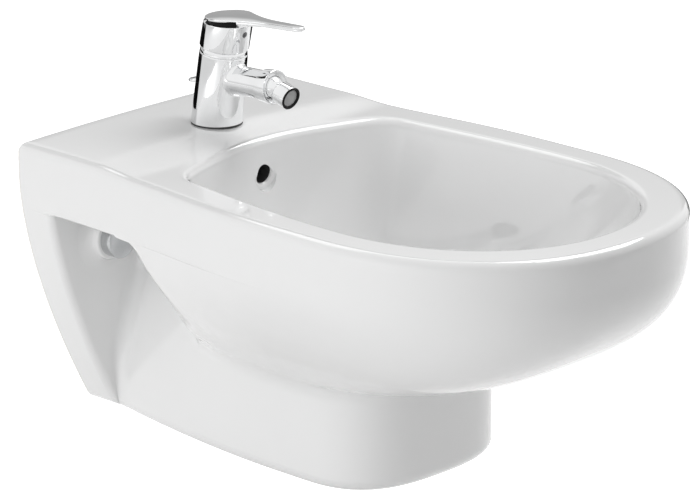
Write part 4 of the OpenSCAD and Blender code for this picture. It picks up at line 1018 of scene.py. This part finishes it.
def aeratorNet():
    # a round wire net across the nozzle's face
    bpy.ops.mesh.primitive_grid_add(x_subdivisions=16, y_subdivisions=16, size=tap["netWidth"] * mm)
    net = bpy.context.object
    bpy.ops.object.mode_set(mode="EDIT")
    bpy.ops.mesh.select_all(action="DESELECT")
    bpy.ops.object.mode_set(mode="OBJECT")
    for vertex in net.data.vertices:
        vertex.select = vertex.co.length > tap["netReach"] * mm
    bpy.ops.object.mode_set(mode="EDIT")
    bpy.ops.mesh.delete(type="VERT")
    bpy.ops.object.mode_set(mode="OBJECT")
    apply(net, "WIREFRAME", thickness=tap["netWire"] * mm, use_boundary=True)
    coat(give(net, "black_plastic", "mesh"), "mesh", net.data.polygons)
    return placed(net, nozzleFrame(tap["netAt"]))


def makeNozzle():
    collar = [(12.75, 53.5), (14.1, 53.5), (14.45, 53.9), (15.15, 64.7), (15.1, 65.2), (14.8, 65.5),
              (13.5, 65.5), (12.4, 64.9), (10, 64), (10.22, 62.7), (10.3, 61.5), (10.3, 57), (12.75, 57)]
    globe = arc(10, 27, 135, 28) + [(7, 8), (7, 18), (4.5, 18), (4.5, -8.9)]
    tube = [(9.1, 9.8), (9.7, 10.0), (10.05, 10.6), (10.1, 11.3), (10.1, 22.5), (9.95, 22.9), (9.6, 23.1),
            (8.95, 23.1), (8.95, 18), (7.05, 18), (7.05, 9.8)]
    lipRing = [(8.85, 18), (8.85, 23.15), (9.85, 23.15), (10.05, 23.4), (10.05, 23.9), (9.8, 24.2),
               (9.4, 24.3), (8.6, 24.25), (8, 23.8), (7.5, 23.2), (7.3, 22.4), (7.3, 18), (8.85, 18)]
    face = [(7.6, 20.8), (7.6, 22.2), (7.2, 22.3), (3, 22.6), (0.1, 22.65)]
    turned("tap_collar", collar, spoutFrame(), "bidet", "chrome", "spout_collar", True, tap["largeSides"])
    turned("tap_ball", globe, nozzleFrame(), "nozzle", "chrome", "swivel_ball", True)
    turned("tap_nozzle", tube, nozzleFrame(), "nozzle", "chrome", "aerator_housing", True)
    rim = give(lathe("tap_aerator", lipRing, nozzleFrame(), closed=False), "black_plastic", "mesh")
    addOn(rim, lathe("face", face, nozzleFrame()), "mesh")
    finishPiece(smoothShade(joined(rim, aeratorNet())), "nozzle", "black_plastic", "aerator_insert")


def makeSmallPieces():
    plug = [(1.95, 12.47), (1.95, 16.5), (2.65, 16.5), (2.65, 18.45), (2.5, 18.75), (2.2, 18.87)]
    turned("tap_index", plug, handleFront(), "lever", "grey_plastic", "index_plug", sides=tap["smallSides"])
    seal = [(18, 93), (22.4, 93), (22.65, 93.25), (22.65, 94.25), (22.4, 94.5), (18, 94.5)]
    turned("tap_seal", seal, slid(0, -tap["back"], 0), "bidet", "rubber", "tap_base_seal", True)
    r, low = tap["knobRadius"], rodFrame(tap["knobAt"])
    side = [(r - 0.8, 0), (r - 0.2, 0.25), (r, 0.8), (r, 2), (r - 0.25, 2.5), (r - 0.8, 2.8)]
    knob = give(lathe("waste_knob", side, low @ slid(0, 5, 0)), "chrome")
    cutAway(knob, lathe("socket", [(2.3, -1), (2.3, 2)], low, tap["smallSides"]))
    finishPiece(smoothShade(knob), "lift_rod", "chrome", "lift_knob")
    wire = [(1.9, -88), (2.3, -87.6), (2.3, 35.4), (2.2, 35.5)]
    turned("waste_rod", wire, rodFrame(), "lift_rod", "chrome", "lift_rod", sides=tap["smallSides"])


makeTapBody()
makeDomeRing()
makeLever()
makeNozzle()
makeSmallPieces()
print("tap: done")


# wall fixings
def makeCaps():
    profile = [(14.4, 46), (15.9, 46), (16, 46.3), (16, 56.6), (15.75, 57.2), (15.2, 57.5), (9, 57.5),
               (0.1, 57.5), (0.1, 55.5), (14.4, 55.5)]
    caps = [lathe("bidet_fixing_caps", profile, fixingFrame(side)) for side in (-1, 1)]
    finishPiece(smoothShade(joined(*caps)), "bidet", "cap_plastic", "fixing_caps")


makeCaps()
print("fixings: done")


# light and surroundings, in metres
studio = {
    "ambient": 0.6, "lookAt": (0, -0.28, 0), "cardMiddle": -0.08,
    "flagSize": 1.5, "flagAt": (0.5, -1.35, 0.62), "flagTurn": (80, 0, 20), "flagTone": 0.12,
    "floorSize": 14, "floorDrop": 0.4, "floorTone": 0.82, "cameraGlow": 0.62, "glossyGlow": 0.25,
    "topLamp": {"at": (1.1, -0.5, 1.8), "size": (1.2, 1.2), "power": 22},
    "sideLamp": {"at": (-2.6, 0.05, 0.05), "size": (1.6, 1.4), "power": 27},
}


def addLamp(name):
    setup = studio[name]
    bpy.ops.object.light_add(type="AREA", location=setup["at"])
    lamp = bpy.context.object
    lamp.name = name
    lamp.rotation_euler = (Vector(setup["at"]) - Vector(studio["lookAt"])).to_track_quat("Z", "Y").to_euler()
    lamp.data.shape = "RECTANGLE"
    lamp.data.size, lamp.data.size_y = setup["size"]
    lamp.data.energy = setup["power"]
    return lamp


addLamp("topLamp")
addLamp("sideLamp").visible_glossy = False


def addCard(name, radius, turns, tones):
    # a curved card round the tap that only shows in reflections; turns are degrees clockwise from the
    # wall's direction, and tones give its brightness at heights in metres
    count, low, high, peak = 32, tones[0][0], tones[-1][0], max(tone for z, tone in tones)
    spots = [(radius * sinDeg(a), radius * math.cos(math.radians(a)) + studio["cardMiddle"], z)
             for z in (low, high) for a in steps(*turns, count)]
    faces = [(i, i + 1, count + 2 + i, count + 1 + i) for i in range(count)]
    card = fromPoints(name, spots, faces)
    finish = Finish(name)
    height = finish.value(finish.node("ShaderNodeSeparateXYZ", Vector=finish.place), "Z")
    share = finish.value(finish.node("ShaderNodeMapRange", Value=height, From_Min=low, From_Max=high))
    stops = [((z - low) / (high - low), tone / peak) for z, tone in tones]
    ramp = finish.node("ShaderNodeValToRGB", {"stops": stops}, Fac=share)
    finish.surface(finish.node("ShaderNodeEmission", Color=ramp.outputs[0], Strength=peak))
    card.data.materials.append(finish.material)
    card.visible_camera = card.visible_diffuse = card.visible_shadow = card.visible_transmission = False


addCard("blackCard", 0.8, (-20, 104), ((-0.145, 0.004), (0.06, 0.004), (0.11, 0.3)))
addCard("backCard", 1.6, (-28, 80), ((0.16, 0.42), (0.56, 0.42), (0.72, 0.8), (1.15, 0.8), (1.35, 0.03),
                                     (1.8, 0.03), (1.95, 2.2), (2.8, 2.2), (3.2, 1)))


def makeFlag():
    # a dark panel out of sight that keeps light from the front off the bowl's nose
    bpy.ops.mesh.primitive_plane_add(size=studio["flagSize"], location=studio["flagAt"],
                                     rotation=[math.radians(turn) for turn in studio["flagTurn"]])
    flag = bpy.context.object
    flag.name = "darkFlag"
    finish = Finish("dark cloth")
    finish.wire(Base_Color=(studio["flagTone"],) * 3, Roughness=0.9)
    flag.data.materials.append(finish.material)
    flag.visible_camera = flag.visible_glossy = flag.visible_transmission = False


makeFlag()


def makeWorld(strength):
    # an even light, which the camera, mirrors and glass see as white
    world = bpy.data.worlds.new("studio")
    bpy.context.scene.world = world
    world.use_nodes = True
    world.node_tree.nodes.clear()
    sky = Nodes(world.node_tree)
    rays = sky.node("ShaderNodeLightPath")
    seen = sky.value(rays, "Is Camera Ray")
    for key in ("Is Glossy Ray", "Is Transmission Ray"):
        seen = seen.maths("MAXIMUM", seen, sky.value(rays, key))
    plain, white = (sky.node("ShaderNodeBackground", Color=(1, 1, 1), Strength=power)
                    for power in (strength, 1))
    mixer = sky.node("ShaderNodeMixShader", None, seen, plain.outputs[0], white.outputs[0])
    sky.node("ShaderNodeOutputWorld", Surface=mixer.outputs[0])


makeWorld(studio["ambient"])


def makeFloor():
    # it glows to the camera and in mirrors only, so it keeps the bidet's shadow
    place = (0, -0.3, rimHeight * mm - studio["floorDrop"])
    bpy.ops.mesh.primitive_plane_add(size=studio["floorSize"], location=place)
    floor = bpy.context.object
    floor.name = "studioFloor"
    finish = Finish("studio floor")
    finish.wire(Base_Color=(studio["floorTone"],) * 3, Roughness=0.9, Specular_IOR_Level=0.0)
    rays = finish.node("ShaderNodeLightPath")
    seen = studio["cameraGlow"] * finish.value(rays, "Is Camera Ray")
    seen = seen + studio["glossyGlow"] * finish.value(rays, "Is Glossy Ray")
    glow = finish.node("ShaderNodeEmission", Strength=seen)
    finish.surface(finish.node("ShaderNodeAddShader", None, finish.shader.outputs[0], glow.outputs[0]))
    floor.data.materials.append(finish.material)


makeFloor()
print("studio: lit")
bpy.context.scene.view_settings.view_transform = "Standard"
